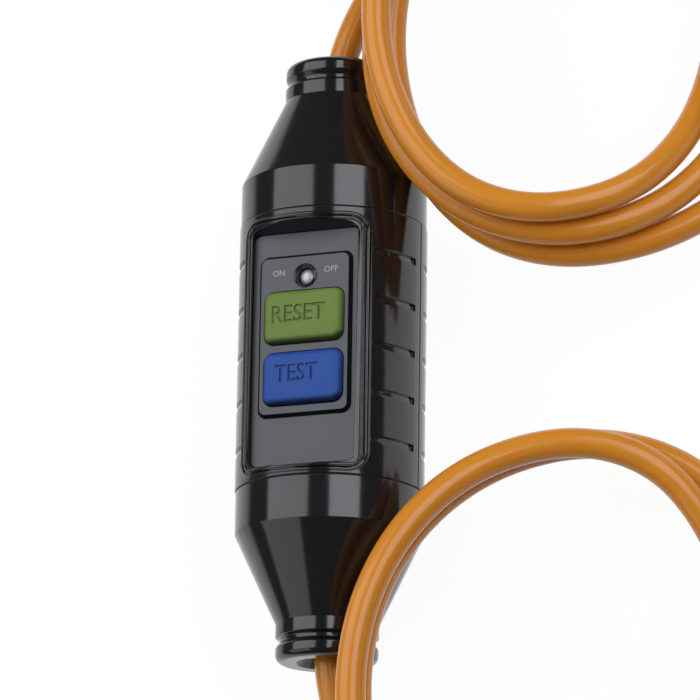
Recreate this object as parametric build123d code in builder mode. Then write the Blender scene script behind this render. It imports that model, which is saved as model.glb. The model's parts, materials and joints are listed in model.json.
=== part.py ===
from build123d import *
import math
import os

os.makedirs("parts", exist_ok=True)

# Housing: a tube lying on its back along Y, with a cone and a ringed neck at each end.
shell_radius = 32.0
shell_wall = 2.8
shell_half_length = 46.1
back_flat_depth = 1.0
cap_step = 0.3
cap_wall = 2.8
cap_gap = 0.25
cap_straight_end = 60.8
neck_radius = 17.4
neck_ring_length = 4.6
neck_groove_radius = 16.0
neck_groove_width = 2.7
lip_length = 5.8
lip_radius = 17.3
lip_shoulder = 1.0
lip_shoulder_rounding = 1.2
lip_rounding = 2.6
housing_half_length = 104.2
mouth_radius = 10.3
mouth_depth = 3.5
bore_radius = 8.1
seal_pocket_radius = 12.6
seal_length = 9.0
bore_length = 17.7
spigot_end = 54.0
spigot_clearance = 0.15
spigot_wall = 2.2
spigot_root = 38.0
seam_width = 0.5
seam_depth = 0.4
fit_clearance = 0.1
screw_clearance = 0.05

# Flat face panel in a pocket of the front shell.
panel_height = 23.3
panel_half_width = 19.5
panel_top = 39.9
panel_bottom = -40.9
panel_thickness = 2.0
panel_corner = 3.0
pocket_draft = 2.0
pocket_side_draft = 0.5
pocket_wall = 2.2
seat_thickness = 2.5
aperture_half_width = 16.2
aperture_top = 34.0
aperture_bottom = -31.0
bead_height = 0.45
bead_width = 0.9
bead_offsets = [0.7, 2.2]

# Raised plateau that frames the two buttons and the window.
plateau_rise = 1.65
plateau_half_width = 15.85
plateau_top = 30.8
plateau_bottom = -23.3
plateau_slope_width = 1.0
plateau_corner = 2.2

# Finger grooves round both sides.
groove_places = [32.4, 16.2, 0.0, -16.2, -32.4]
groove_depth = 0.8
groove_ramp = 3.0
front_groove_start = 47.0
front_groove_end = 81.0
back_groove_start = 96.0
back_groove_end = 150.0
notch_length = 2.1
notch_width = 2.3
notch_depth = 1.2

# Push buttons.
button_length = 28.4
button_width = 18.1
button_corner = 3.4
button_rounding = 1.8
button_proud = 2.55
button_clearance = 0.25
button_travel = 2.5
reset_place = 9.75
test_place = -11.45
flange_length = 31.2
flange_width = 15.0
flange_thickness = 1.0
flange_gap = 0.4
stem_radius = 3.0
stem_bottom = 10.5

# State window and the slide behind it.
window_x = 0.1
window_y = 24.0
window_ring_radius = 4.1
window_ring_bore = 2.95
window_ring_proud = 0.7
window_ring_softening = 0.315
window_hole_radius = 3.5
lens_proud = 1.1
flag_half_length = 7.0
flag_width = 6.2
flag_thickness = 0.8
flag_clearance = 0.3
flag_travel = 7.0
rail_length = 25.0
rail_width = 1.2
rail_lip = 1.0
rail_lip_thickness = 0.5

# Mechanism, heights from the housing axis.
board_top = -0.4
board_thickness = 1.6
board_half_width = 17.0
board_half_length = 43.0
post_x = 13.0
post_y = 24.0
post_radius = 2.5
board_screw_radius = 1.2
board_screw_head = 2.2
board_screw_length = 8.0
guide_bottom = 12.0
guide_thickness = 2.0
guide_half_width = 13.0
guide_front = 17.2
guide_rear = -19.5
guide_leg = 3.0
relay_y = 25.5
yoke_half_width = 9.0
yoke_half_length = 8.0
yoke_sheet = 1.2
relay_coil_radius = 6.5
relay_coil_bottom = 0.9
relay_coil_top = 8.5
relay_flange = 0.8
relay_winding_inset = 0.7
plunger_radius = 2.9
plunger_bottom = 3.6
carrier_bottom = 14.0
carrier_thickness = 3.0
carrier_half_length = 13.0
carrier_half_width = 5.0
carrier_travel = 2.5
bridge_x = 11.0
bridge_half_length = 7.3
bridge_width = 3.0
bridge_thickness = 1.0
contact_spread = 6.0
contact_radius = 1.2
contact_button = 0.5
contact_gap = 0.05
leaf_width = 5.0
leaf_thickness = 0.5
leaf_clearance = 0.1
leaf_length = 11.0
toroid_radius = 15.0
toroid_bore = 7.0
toroid_height = 11.0
toroid_y = -10.0
toroid_rounding = 2.0
capacitor_radius = 3.1
capacitor_pitch = 6.4
capacitor_height = 10.0
capacitor_row = -23.5
chip_length = 10.0
chip_width = 6.0
chip_height = 2.5
chip_y = -1.0
driver_x = -11.0
driver_length = 6.0
driver_height = 4.0
terminal_start = 34.0
terminal_half_width = 12.0
terminal_height = 9.0
terminal_pitch = 6.5
terminal_hole_height = 3.4
terminal_screw_radius = 1.8
terminal_screw_depth = 3.0
spring_wire = 0.35
spring_turns = 3.5
button_spring_radius = 4.2
carrier_spring_radius = 3.9
spring_seat_gap = 0.1

# Screws that hold the shells together, driven from the back.
boss_x = 22.0
boss_y = 38.0
boss_radius = 4.5
housing_screw_radius = 1.45
housing_screw_head = 2.9
housing_screw_head_height = 2.2
housing_screw_seat = -16.0
housing_screw_tip = 14.0
screw_head_clearance = 0.3
head_shoulder_share = 0.6
head_crown_share = 0.7
recess_length_share = 1.2
recess_width_share = 0.22
recess_depth_share = 0.45
gasket_width = 1.0
gasket_height = 0.8
gasket_end_gap = 2.0

# Cord, its clamp and its conductors.
cord_diameter = 10.0
conductor_radius = 1.3
conductor_spread = 2.7
conductor_bend = 1.6
conductor_tail_length = 1.0
sheath_end = 48.0
clamp_start = 48.6
clamp_end = 53.6
clamp_half_width = 11.0
clamp_screw_x = 8.0
clamp_screw_radius = 1.5
clamp_screw_head = 2.7
clamp_screw_head_height = 2.0
clamp_screw_length = 13.0
clamp_top = 8.0
clamp_gap = 0.2
floor_clearance = 0.1

# The plug and the coupler lie over their coils, turned a little away from the Y axis.
piece_turn = 15.0
plug_entry = (148.0, 151.1, 30.5)
socket_entry = (145.3, -151.7, 35.2)

# Plug: round earthed body with two pins.
plug_radius = 19.4
plug_body_length = 20.0
plug_waist = 27.2
plug_waist_radius = 14.0
plug_tail_length = 36.0
plug_tail_radius = 9.5
plug_sleeve_length = 26.0
plug_sleeve_root = 8.0
plug_sleeve_tip = 6.4
pin_radius = 2.4
pin_length = 19.0
pin_spacing = 19.0
pin_root = 8.0
pin_collar_radius = 2.8
pin_rounding = 1.6
earth_slot_width = 7.0
earth_slot_length = 16.0
earth_slot_depth = 1.6
earth_strip_thickness = 0.8
earth_hole_radius = 2.5
earth_hole_depth = 15.0
plug_earth_offset = 10.0

# Coupler: round earthed socket.
socket_radius = 24.0
socket_head_length = 26.0
socket_waist = 38.0
socket_waist_radius = 20.5
socket_body_length = 46.0
socket_tail_radius = 10.0
well_radius = 19.9
well_depth = 17.0
insert_thickness = 20.0
insert_rim = 1.5
pin_hole_radius = 2.65
pin_hole_depth = 19.5
socket_sleeve_length = 26.0
earth_clip_width = 4.9

cord_radius = cord_diameter / 2
cord_floor = cord_radius + floor_clearance
axis_z = shell_radius - back_flat_depth
housing_origin = (0, 0, axis_z)
housing_axis = Axis(housing_origin, (0, 1, 0))
cap_radius = shell_radius - cap_step
cap_inner_radius = cap_radius - cap_wall
spigot_radius = cap_inner_radius - spigot_clearance
shell_inner_radius = shell_radius - shell_wall
lip_start = housing_half_length - lip_length
neck_ring_end = lip_start - neck_groove_width
cone_end = neck_ring_end - neck_ring_length
seal_pocket_end = housing_half_length - mouth_depth - bore_length
seal_pocket_start = seal_pocket_end - seal_length
post_foot = math.sqrt((shell_radius - shell_wall / 2) ** 2 - post_x ** 2)
spigot_inner_radius = spigot_radius - spigot_wall
seat_z = axis_z + panel_height - panel_thickness
panel_z = axis_z + panel_height
plateau_z = panel_z + plateau_rise
button_top_z = plateau_z + button_proud
flange_top_z = seat_z - flange_gap
board_z = axis_z + board_top
closed_depth = 2 * shell_radius
ends = [1, -1]
sides = [1, -1]
skew = math.radians(piece_turn)
plug_heading = Vector(math.sin(skew), -math.cos(skew), 0)
socket_heading = Vector(math.sin(skew), math.cos(skew), 0)
plug_face = Vector(*plug_entry) + plug_heading * (plug_sleeve_length + plug_tail_length)
socket_face = Vector(*socket_entry) + socket_heading * (socket_sleeve_length + socket_body_length)


def save(body, name):
    """Label a finished piece and write it."""
    body.label = name
    export_step(body, f"parts/{name}.step")


def turned(profile, origin, direction):
    """Solid of revolution from (radius, distance) points about an axis in the XY directions."""
    across = Vector(0, 0, 1)
    facing = across.cross(Vector(*direction))
    with BuildPart() as body:
        with BuildSketch(Plane(origin=origin, x_dir=across, z_dir=facing)):
            with BuildLine():
                Polyline(*profile, close=True)
            make_face()
        revolve(axis=Axis(origin, direction))
    return body.part


def rounded_slab(x_size, y_size, corner, bottom, height, x_mid=0.0, y_mid=0.0):
    """Upright block with rounded corners, from the height bottom upwards."""
    with BuildPart() as slab:
        with BuildSketch(Plane.XY.offset(bottom)):
            with Locations((x_mid, y_mid)):
                RectangleRounded(x_size, y_size, corner)
        extrude(amount=height)
    return slab.part


def upright(radius, x, y, bottom, top):
    """Upright cylinder between two heights."""
    with BuildPart() as rod:
        with BuildSketch(Plane.XY.offset(bottom)):
            with Locations((x, y)):
                Circle(radius)
        extrude(amount=top - bottom)
    return rod.part


def block(x_from, x_to, y_from, y_to, z_from, z_to):
    """Plain block between its corners."""
    with BuildPart() as brick:
        with BuildSketch(Plane.XY.offset(z_from)):
            with Locations(((x_from + x_to) / 2, (y_from + y_to) / 2)):
                Rectangle(abs(x_to - x_from), abs(y_to - y_from))
        extrude(amount=z_to - z_from)
    return brick.part


def screw(radius, head_radius, head_height, tip, seat, x, y, up):
    """Pan head screw along Z: up is 1 with the head on top of its seat, -1 below it."""
    profile = [
        (0, (tip - seat) * up),
        (radius, (tip - seat) * up),
        (radius, 0),
        (head_radius, 0),
        (head_radius, head_height * head_shoulder_share),
        (head_radius * head_crown_share, head_height),
        (0, head_height),
    ]
    with BuildPart() as body:
        with BuildSketch(Plane(origin=(x, y, seat), x_dir=(1, 0, 0), z_dir=(0, -up, 0))):
            with BuildLine():
                Polyline(*profile, close=True)
            make_face()
        revolve(axis=Axis((x, y, seat), (0, 0, up)))
        with BuildSketch(Plane.XY.offset(seat + up * head_height)):
            with Locations((x, y)):
                Rectangle(head_radius * recess_length_share, head_radius * recess_width_share)
                Rectangle(head_radius * recess_width_share, head_radius * recess_length_share)
        extrude(amount=-up * head_height * recess_depth_share, mode=Mode.SUBTRACT)
    return body.part


def shell_half(upper):
    """One half of the tube with its spigots: the upper half carries the face."""
    half = [
        (shell_radius, 0),
        (shell_radius, shell_half_length),
        (spigot_radius, shell_half_length),
        (spigot_radius, spigot_end),
        (spigot_inner_radius, spigot_end),
        (spigot_inner_radius, spigot_root + shell_wall),
        (shell_inner_radius, spigot_root),
        (shell_inner_radius, 0),
    ]
    bottom = axis_z - closed_depth if upper else axis_z
    with BuildPart() as tube:
        add(turned(half, housing_origin, (0, 1, 0)))
        add(turned(half, housing_origin, (0, -1, 0)))
        add(block(-closed_depth, closed_depth, -closed_depth, closed_depth, bottom, bottom + closed_depth),
            mode=Mode.SUBTRACT)
    return tube.part


def solid_core(length):
    """The space inside the tube's outer face, for trimming what is moulded to it."""
    return turned([(0, -length), (shell_radius, -length), (shell_radius, length), (0, length)],
                  housing_origin, (0, 1, 0))


def groove_cutters(start, end):
    """Saw-tooth grooves between two angles from the top, on both sides."""
    cutters = []
    outside = shell_radius + notch_depth
    reach = groove_ramp * (groove_depth + notch_depth) / groove_depth
    turn = math.radians(start)
    radial = (math.sin(turn), 0, math.cos(turn))
    facing = (-math.cos(turn), 0, math.sin(turn))
    for place in groove_places:
        tooth = [
            (shell_radius - groove_depth, place),
            (outside, place),
            (outside, place - reach),
        ]
        with BuildPart() as cutter:
            with BuildSketch(Plane(origin=housing_origin, x_dir=radial, z_dir=facing)):
                with BuildLine():
                    Polyline(*tooth, close=True)
                make_face()
            revolve(axis=housing_axis, revolution_arc=end - start)
            mirror(about=Plane.YZ)
        cutters.append(cutter.part)
    return cutters


def notch_cutters():
    """Square notches that end the upper grooves above the seam."""
    cutters = []
    for side in sides:
        turn = math.radians(front_groove_end) * side
        outward = Vector(math.sin(turn), 0, math.cos(turn))
        for place in groove_places:
            spot = Vector(*housing_origin) + outward * shell_radius + Vector(0, place - notch_length / 2, 0)
            with BuildPart() as cutter:
                with BuildSketch(Plane(origin=spot, x_dir=(0, 1, 0), z_dir=outward)):
                    Rectangle(notch_length, notch_width)
                extrude(amount=notch_depth, both=True)
            cutters.append(cutter.part)
    return cutters


def seam_cutters():
    """Shallow line along each side where the two shells meet."""
    return [
        block(side * (shell_radius - seam_depth), side * (shell_radius + seam_depth),
              -shell_half_length, shell_half_length,
              axis_z - seam_width / 2, axis_z + seam_width / 2)
        for side in sides
    ]


def pocket_outline(grow, half_width, top, bottom, corner):
    """Rounded rectangle of the face, grown by a margin."""
    with Locations((0, (top + bottom) / 2)):
        RectangleRounded(2 * (half_width + grow), top - bottom + 2 * grow, corner + grow)


def face_pocket():
    """The pocket that holds the face plate, with drafted walls above the plate."""
    rim_z = axis_z + shell_radius + bead_height * 2
    with BuildPart() as pocket:
        with BuildSketch(Plane.XY.offset(seat_z)):
            pocket_outline(0, panel_half_width, panel_top, panel_bottom, panel_corner)
        extrude(amount=panel_thickness)
        with BuildSketch(Plane.XY.offset(panel_z)):
            pocket_outline(0, panel_half_width, panel_top, panel_bottom, panel_corner)
        with BuildSketch(Plane.XY.offset(rim_z)):
            pocket_outline(0, panel_half_width + pocket_side_draft, panel_top + pocket_draft,
                           panel_bottom - pocket_draft, panel_corner + pocket_side_draft)
        loft(ruled=True)
    return pocket.part


def face_beads():
    """Two thin raised lines that frame the face."""
    with BuildPart() as beads:
        for offset_from_edge in bead_offsets:
            with BuildSketch(Plane.XY.offset(axis_z + spigot_inner_radius / 2)):
                pocket_outline(offset_from_edge + bead_width, panel_half_width + pocket_side_draft,
                               panel_top + pocket_draft / 2, panel_bottom - pocket_draft / 2, panel_corner)
                with Locations((0, (panel_top + panel_bottom) / 2)):
                    RectangleRounded(
                        2 * (panel_half_width + pocket_side_draft + offset_from_edge),
                        panel_top - panel_bottom + pocket_draft + 2 * offset_from_edge,
                        panel_corner + offset_from_edge, mode=Mode.SUBTRACT)
            extrude(amount=shell_radius)
        add(turned([(0, -shell_half_length), (shell_radius + bead_height, -shell_half_length),
                    (shell_radius + bead_height, shell_half_length), (0, shell_half_length)],
                   housing_origin, (0, 1, 0)), mode=Mode.INTERSECT)
    return beads.part


def make_front_shell():
    pocket_block = block(-panel_half_width - pocket_wall, panel_half_width + pocket_wall,
                         panel_bottom - pocket_draft - pocket_wall, panel_top + pocket_draft + pocket_wall,
                         seat_z - seat_thickness, axis_z + shell_radius)
    grooves = groove_cutters(front_groove_start, front_groove_end)
    with BuildPart() as inner:
        add(pocket_block)
        for x in (boss_x, -boss_x):
            for y in (boss_y, -boss_y):
                add(upright(boss_radius, x, y, axis_z, seat_z))
        add(solid_core(shell_half_length), mode=Mode.INTERSECT)
        for cutter in grooves:
            add(cutter, mode=Mode.SUBTRACT)
    with BuildPart() as shell:
        add(shell_half(upper=True))
        for cutter in grooves:
            add(cutter, mode=Mode.SUBTRACT)
        add(inner.part)
        add(face_beads())
        add(face_pocket(), mode=Mode.SUBTRACT)
        add(block(-aperture_half_width, aperture_half_width, aperture_bottom, aperture_top,
                  seat_z - seat_thickness, seat_z), mode=Mode.SUBTRACT)
        for cutter in notch_cutters() + seam_cutters():
            add(cutter, mode=Mode.SUBTRACT)
        for x in (boss_x, -boss_x):
            for y in (boss_y, -boss_y):
                add(upright(housing_screw_radius + screw_clearance, x, y, axis_z,
                            axis_z + housing_screw_tip + seam_width), mode=Mode.SUBTRACT)
    save(shell.part, "front_shell")


def make_back_shell():
    clamp_seat = axis_z - clamp_gap / 2
    with BuildPart() as inner:
        for x in (boss_x, -boss_x):
            for y in (boss_y, -boss_y):
                add(upright(boss_radius, x, y, 0, axis_z))
        for x in (post_x, -post_x):
            for y in (post_y, -post_y):
                add(upright(post_radius, x, y, axis_z - post_foot, board_z - board_thickness))
        add(solid_core(shell_half_length), mode=Mode.INTERSECT)
    with BuildPart() as saddles:
        for end in ends:
            add(block(-clamp_half_width, clamp_half_width, end * clamp_start, end * clamp_end,
                      axis_z - spigot_radius + spigot_wall / 2, clamp_seat))
        add(turned([(0, -spigot_end), (spigot_radius - spigot_wall / 2, -spigot_end),
                    (spigot_radius - spigot_wall / 2, spigot_end), (0, spigot_end)],
                   housing_origin, (0, 1, 0)), mode=Mode.INTERSECT)
        add(turned([(0, -spigot_end), (cord_radius + fit_clearance, -spigot_end),
                    (cord_radius + fit_clearance, spigot_end), (0, spigot_end)],
                   housing_origin, (0, 1, 0)), mode=Mode.SUBTRACT)
    head_room = housing_screw_head + screw_head_clearance
    with BuildPart() as shell:
        add(shell_half(upper=False))
        add(inner.part)
        add(saddles.part)
        for cutter in groove_cutters(back_groove_start, back_groove_end):
            add(cutter, mode=Mode.SUBTRACT)
        for cutter in seam_cutters():
            add(cutter, mode=Mode.SUBTRACT)
        add(block(-shell_radius, shell_radius, -spigot_end, spigot_end, -shell_radius, 0),
            mode=Mode.SUBTRACT)
        for x in (boss_x, -boss_x):
            for y in (boss_y, -boss_y):
                add(upright(housing_screw_radius + screw_clearance, x, y, 0, axis_z), mode=Mode.SUBTRACT)
                add(upright(head_room, x, y, 0, axis_z + housing_screw_seat), mode=Mode.SUBTRACT)
        for x in (post_x, -post_x):
            for y in (post_y, -post_y):
                add(upright(board_screw_radius + screw_clearance, x, y,
                            board_z - board_screw_length - seam_width, board_z), mode=Mode.SUBTRACT)
        for end in ends:
            for side in sides:
                add(upright(clamp_screw_radius + screw_clearance, side * clamp_screw_x,
                            end * (clamp_start + clamp_end) / 2,
                            axis_z + clamp_top - clamp_screw_length - seam_width, clamp_seat),
                    mode=Mode.SUBTRACT)
        for side in sides:
            middle = side * (shell_radius - shell_wall / 2)
            half = gasket_width / 2 + fit_clearance / 2
            add(block(middle - half, middle + half, -shell_half_length + gasket_end_gap - fit_clearance,
                      shell_half_length - gasket_end_gap + fit_clearance,
                      axis_z - gasket_height, axis_z), mode=Mode.SUBTRACT)
    save(shell.part, "back_shell")


def make_gasket():
    with BuildPart() as gasket:
        for side in sides:
            middle = side * (shell_radius - shell_wall / 2)
            add(block(middle - gasket_width / 2, middle + gasket_width / 2,
                      -shell_half_length + gasket_end_gap, shell_half_length - gasket_end_gap,
                      axis_z - gasket_height, axis_z))
    save(gasket.part, "shell_gasket")


def cap_profile():
    """Half section of an end cap, as (radius, distance from the middle of the housing)."""
    slope = (cap_radius - neck_radius) / (cone_end - cap_straight_end)
    normal_wall = cap_wall * math.hypot(1, slope)
    cone_inner = cap_radius - normal_wall
    straight_inner_end = cap_straight_end + (cone_inner - cap_inner_radius) / slope
    inner_end_radius = cone_inner - (seal_pocket_start - cap_straight_end) * slope
    return [
        (cap_inner_radius, shell_half_length + cap_gap),
        (cap_radius, shell_half_length + cap_gap),
        (cap_radius, cap_straight_end),
        (neck_radius, cone_end),
        (neck_radius, neck_ring_end),
        (neck_groove_radius, neck_ring_end + (neck_radius - neck_groove_radius) / 2),
        (neck_groove_radius, lip_start - (lip_radius - neck_groove_radius) / 2),
        (lip_radius, lip_start + lip_shoulder),
        (lip_radius, housing_half_length),
        (mouth_radius, housing_half_length),
        (bore_radius, housing_half_length - mouth_depth),
        (bore_radius, seal_pocket_end),
        (seal_pocket_radius, seal_pocket_end),
        (seal_pocket_radius, seal_pocket_start),
        (inner_end_radius, seal_pocket_start),
        (cap_inner_radius, straight_inner_end),
    ]


def lip_edges(cap, reach):
    """The circular edges of the lip at a distance from the middle of the housing."""
    return cap.edges().filter_by(GeomType.CIRCLE).filter_by(
        lambda edge: abs(edge.radius - lip_radius) < fit_clearance
        and abs(abs(edge.center().Y) - reach) < fit_clearance)


def make_caps():
    for end, name in zip(ends, ("supply_end_cap", "outlet_end_cap")):
        with BuildPart() as cap:
            add(turned(cap_profile(), housing_origin, (0, end, 0)))
            fillet(lip_edges(cap, housing_half_length), lip_rounding)
            fillet(lip_edges(cap, lip_start + lip_shoulder), lip_shoulder_rounding)
            add(block(-shell_radius, shell_radius, -closed_depth, closed_depth, -shell_radius, 0),
                mode=Mode.SUBTRACT)
        save(cap.part, name)


def make_seals():
    for end, name in zip(ends, ("supply_cord_seal", "outlet_cord_seal")):
        outer = seal_pocket_radius - fit_clearance
        bore = cord_radius + screw_clearance
        profile = [
            (bore, seal_pocket_start),
            (outer, seal_pocket_start),
            (outer, seal_pocket_end),
            (bore, seal_pocket_end),
        ]
        save(turned(profile, housing_origin, (0, end, 0)), name)


def make_clamps():
    clamp_y = (clamp_start + clamp_end) / 2
    for end, name in zip(ends, ("supply", "outlet")):
        with BuildPart() as bar:
            add(block(-clamp_half_width, clamp_half_width, end * clamp_start, end * clamp_end,
                      axis_z + clamp_gap / 2, axis_z + clamp_top))
            add(turned([(0, 0), (cord_radius + fit_clearance, 0),
                        (cord_radius + fit_clearance, spigot_end), (0, spigot_end)],
                       housing_origin, (0, end, 0)), mode=Mode.SUBTRACT)
            for side in sides:
                add(upright(clamp_screw_radius + fit_clearance, side * clamp_screw_x, end * clamp_y,
                            axis_z, axis_z + clamp_top), mode=Mode.SUBTRACT)
        save(bar.part, f"{name}_cord_clamp")
    with BuildPart() as screws:
        for end in ends:
            for side in sides:
                add(screw(clamp_screw_radius, clamp_screw_head, clamp_screw_head_height,
                          axis_z + clamp_top - clamp_screw_length, axis_z + clamp_top,
                          side * clamp_screw_x, end * clamp_y, 1))
    save(screws.part, "clamp_screws")


def make_housing_screws():
    with BuildPart() as screws:
        for x in (boss_x, -boss_x):
            for y in (boss_y, -boss_y):
                add(screw(housing_screw_radius, housing_screw_head, housing_screw_head_height,
                          axis_z + housing_screw_tip, axis_z + housing_screw_seat, x, y, -1))
    save(screws.part, "housing_screws")


def make_face_plate():
    rail_gap = flag_width / 2 + flag_clearance
    rail_bottom = seat_z - flag_thickness - 2 * flag_clearance - rail_lip_thickness
    with BuildPart() as plate:
        with BuildSketch(Plane.XY.offset(seat_z)):
            pocket_outline(-fit_clearance, panel_half_width, panel_top, panel_bottom, panel_corner)
        extrude(amount=panel_thickness)
        with BuildSketch(Plane.XY.offset(panel_z)):
            pocket_outline(plateau_slope_width, plateau_half_width, plateau_top, plateau_bottom,
                           plateau_corner)
        with BuildSketch(Plane.XY.offset(plateau_z)):
            pocket_outline(0, plateau_half_width, plateau_top, plateau_bottom, plateau_corner)
        loft(ruled=True)
        for side in sides:
            near = window_y + side * rail_gap
            far = near + side * rail_width
            lip = near - side * rail_lip
            add(block(window_x - rail_length / 2, window_x + rail_length / 2, near, far, rail_bottom, seat_z))
            add(block(window_x - rail_length / 2, window_x + rail_length / 2, lip, far, rail_bottom,
                      rail_bottom + rail_lip_thickness))
        for place in (reset_place, test_place):
            add(rounded_slab(button_length + 2 * button_clearance, button_width + 2 * button_clearance,
                             button_corner + button_clearance, seat_z, closed_depth, 0, place),
                mode=Mode.SUBTRACT)
        add(upright(window_hole_radius, window_x, window_y, seat_z, closed_depth), mode=Mode.SUBTRACT)
    save(plate.part, "face_plate")


def make_buttons():
    for name, place in (("reset_button", reset_place), ("test_button", test_place)):
        with BuildPart() as button:
            with BuildSketch(Plane.XY.offset(flange_top_z)):
                with Locations((0, place)):
                    RectangleRounded(button_length, button_width, button_corner)
            extrude(amount=button_top_z - flange_top_z)
            fillet(button.faces().sort_by(Axis.Z)[-1].edges(), button_rounding)
            add(block(-flange_length / 2, flange_length / 2, place - flange_width / 2,
                      place + flange_width / 2, flange_top_z - flange_thickness, flange_top_z))
            add(upright(stem_radius, 0, place, axis_z + stem_bottom, flange_top_z))
        save(button.part, name)


def helical_spring(radius, x, y, bottom, top):
    """Compression spring of round wire whose outer coils end inside its two heights."""
    height = top - bottom - 2 * spring_wire
    pitch = height / spring_turns
    with BuildPart() as spring:
        with BuildLine(Plane(origin=(x, y, bottom + spring_wire))) as wire:
            Helix(pitch=pitch, height=height, radius=radius)
        with BuildSketch(Plane(origin=wire.line @ 0, z_dir=wire.line % 0)):
            Circle(spring_wire)
        sweep()
    return spring.part


def make_springs():
    guide_top = axis_z + guide_bottom + guide_thickness
    under_flange = flange_top_z - flange_thickness
    for name, place in (("reset_spring", reset_place), ("test_spring", test_place)):
        save(helical_spring(button_spring_radius, 0, place, guide_top + spring_seat_gap,
                            under_flange - spring_seat_gap), name)
    save(helical_spring(carrier_spring_radius, 0, relay_y, axis_z + relay_coil_top + spring_seat_gap,
                        axis_z + carrier_bottom - spring_seat_gap), "carrier_spring")


def make_button_guide():
    bottom = axis_z + guide_bottom
    with BuildPart() as guide:
        add(block(-guide_half_width, guide_half_width, guide_rear, guide_front, bottom,
                  bottom + guide_thickness))
        for side in sides:
            outer = side * guide_half_width
            inner = side * (guide_half_width - guide_leg)
            for leg_y in (guide_front - guide_leg, guide_rear):
                add(block(outer, inner, leg_y, leg_y + guide_leg, board_z, bottom))
        for place in (reset_place, test_place):
            add(upright(stem_radius + fit_clearance, 0, place, bottom, bottom + guide_thickness),
                mode=Mode.SUBTRACT)
    save(guide.part, "button_guide")


def make_button_contacts():
    lowest_stem = stem_bottom - button_travel
    for name, place in (("reset_contact", reset_place), ("test_contact", test_place)):
        top = axis_z + lowest_stem - leaf_clearance
        with BuildPart() as leaf:
            add(block(-leaf_length / 2, leaf_length / 2, place - leaf_width / 2, place + leaf_width / 2,
                      top - leaf_thickness, top))
            for side in sides:
                add(block(side * leaf_length / 2, side * (leaf_length / 2 - leaf_thickness),
                          place - leaf_width / 2, place + leaf_width / 2, board_z, top))
        save(leaf.part, name)


def make_board():
    with BuildPart() as board:
        add(block(-board_half_width, board_half_width, -board_half_length, board_half_length,
                  board_z - board_thickness, board_z))
        for x in (post_x, -post_x):
            for y in (post_y, -post_y):
                add(upright(board_screw_radius + fit_clearance, x, y, 0, board_z), mode=Mode.SUBTRACT)
    save(board.part, "circuit_board")


def make_relay():
    yoke_y = yoke_half_length
    with BuildPart() as yoke:
        add(block(-yoke_half_width, yoke_half_width, relay_y - yoke_y, relay_y + yoke_y,
                  board_z, board_z + yoke_sheet))
        for side in sides:
            add(block(-yoke_half_width, yoke_half_width, relay_y + side * yoke_y,
                      relay_y + side * (yoke_y - yoke_sheet), board_z, axis_z + relay_coil_top))
    save(yoke.part, "relay_yoke")
    bore = plunger_radius + fit_clearance
    wound = relay_coil_radius - relay_winding_inset
    with BuildPart() as coil:
        for bottom, top, radius in (
            (relay_coil_bottom, relay_coil_bottom + relay_flange, relay_coil_radius),
            (relay_coil_bottom + relay_flange, relay_coil_top - relay_flange, wound),
            (relay_coil_top - relay_flange, relay_coil_top, relay_coil_radius),
        ):
            add(upright(radius, 0, relay_y, axis_z + bottom, axis_z + top))
        add(upright(bore, 0, relay_y, axis_z, axis_z + relay_coil_top), mode=Mode.SUBTRACT)
    save(coil.part, "relay_coil")
    save(upright(plunger_radius, 0, relay_y, axis_z + plunger_bottom, axis_z + carrier_bottom),
         "relay_plunger")


def make_contacts():
    bottom = axis_z + carrier_bottom
    with BuildPart() as carrier:
        add(block(-carrier_half_length, carrier_half_length, relay_y - carrier_half_width,
                  relay_y + carrier_half_width, bottom, bottom + carrier_thickness))
        fillet(carrier.edges().filter_by(Axis.Z), bridge_thickness)
    save(carrier.part, "contact_carrier")
    tip = bottom - bridge_thickness - contact_button
    with BuildPart() as bridges:
        for side in sides:
            x = side * bridge_x
            add(block(x - bridge_width / 2, x + bridge_width / 2, relay_y - bridge_half_length,
                      relay_y + bridge_half_length, bottom - bridge_thickness, bottom))
            for end in ends:
                add(upright(contact_radius, x, relay_y + end * contact_spread, tip,
                            bottom - bridge_thickness))
    save(bridges.part, "moving_contacts")
    closed_top = tip - carrier_travel - contact_gap
    with BuildPart() as blades:
        for side in sides:
            for end in ends:
                x = side * bridge_x
                y = relay_y + end * contact_spread
                add(block(x - contact_radius, x + contact_radius, y - contact_radius, y + contact_radius,
                          board_z, closed_top - contact_button))
                add(upright(contact_radius, x, y, closed_top - contact_button, closed_top))
    save(blades.part, "fixed_contacts")


def make_sensing_coil():
    top = board_z - board_thickness - spring_seat_gap
    with BuildPart() as ring:
        add(upright(toroid_radius, 0, toroid_y, top - toroid_height, top))
        add(upright(toroid_bore, 0, toroid_y, top - toroid_height, top), mode=Mode.SUBTRACT)
        fillet(ring.edges().filter_by(GeomType.CIRCLE), toroid_rounding)
    save(ring.part, "sensing_coil")


def make_board_parts():
    with BuildPart() as parts_on_board:
        for x in (-capacitor_pitch, 0, capacitor_pitch):
            add(upright(capacitor_radius, x, capacitor_row, board_z, board_z + capacitor_height))
        add(block(-chip_length / 2, chip_length / 2, chip_y - chip_width / 2, chip_y + chip_width / 2,
                  board_z, board_z + chip_height))
        add(block(driver_x - driver_length / 2, driver_x + driver_length / 2,
                  test_place, test_place + chip_width, board_z, board_z + driver_height))
    save(parts_on_board.part, "board_parts")
    with BuildPart() as screws:
        for x in (post_x, -post_x):
            for y in (post_y, -post_y):
                add(screw(board_screw_radius, board_screw_head, board_screw_radius,
                          board_z - board_screw_length, board_z, x, y, 1))
    save(screws.part, "board_screws")


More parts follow.
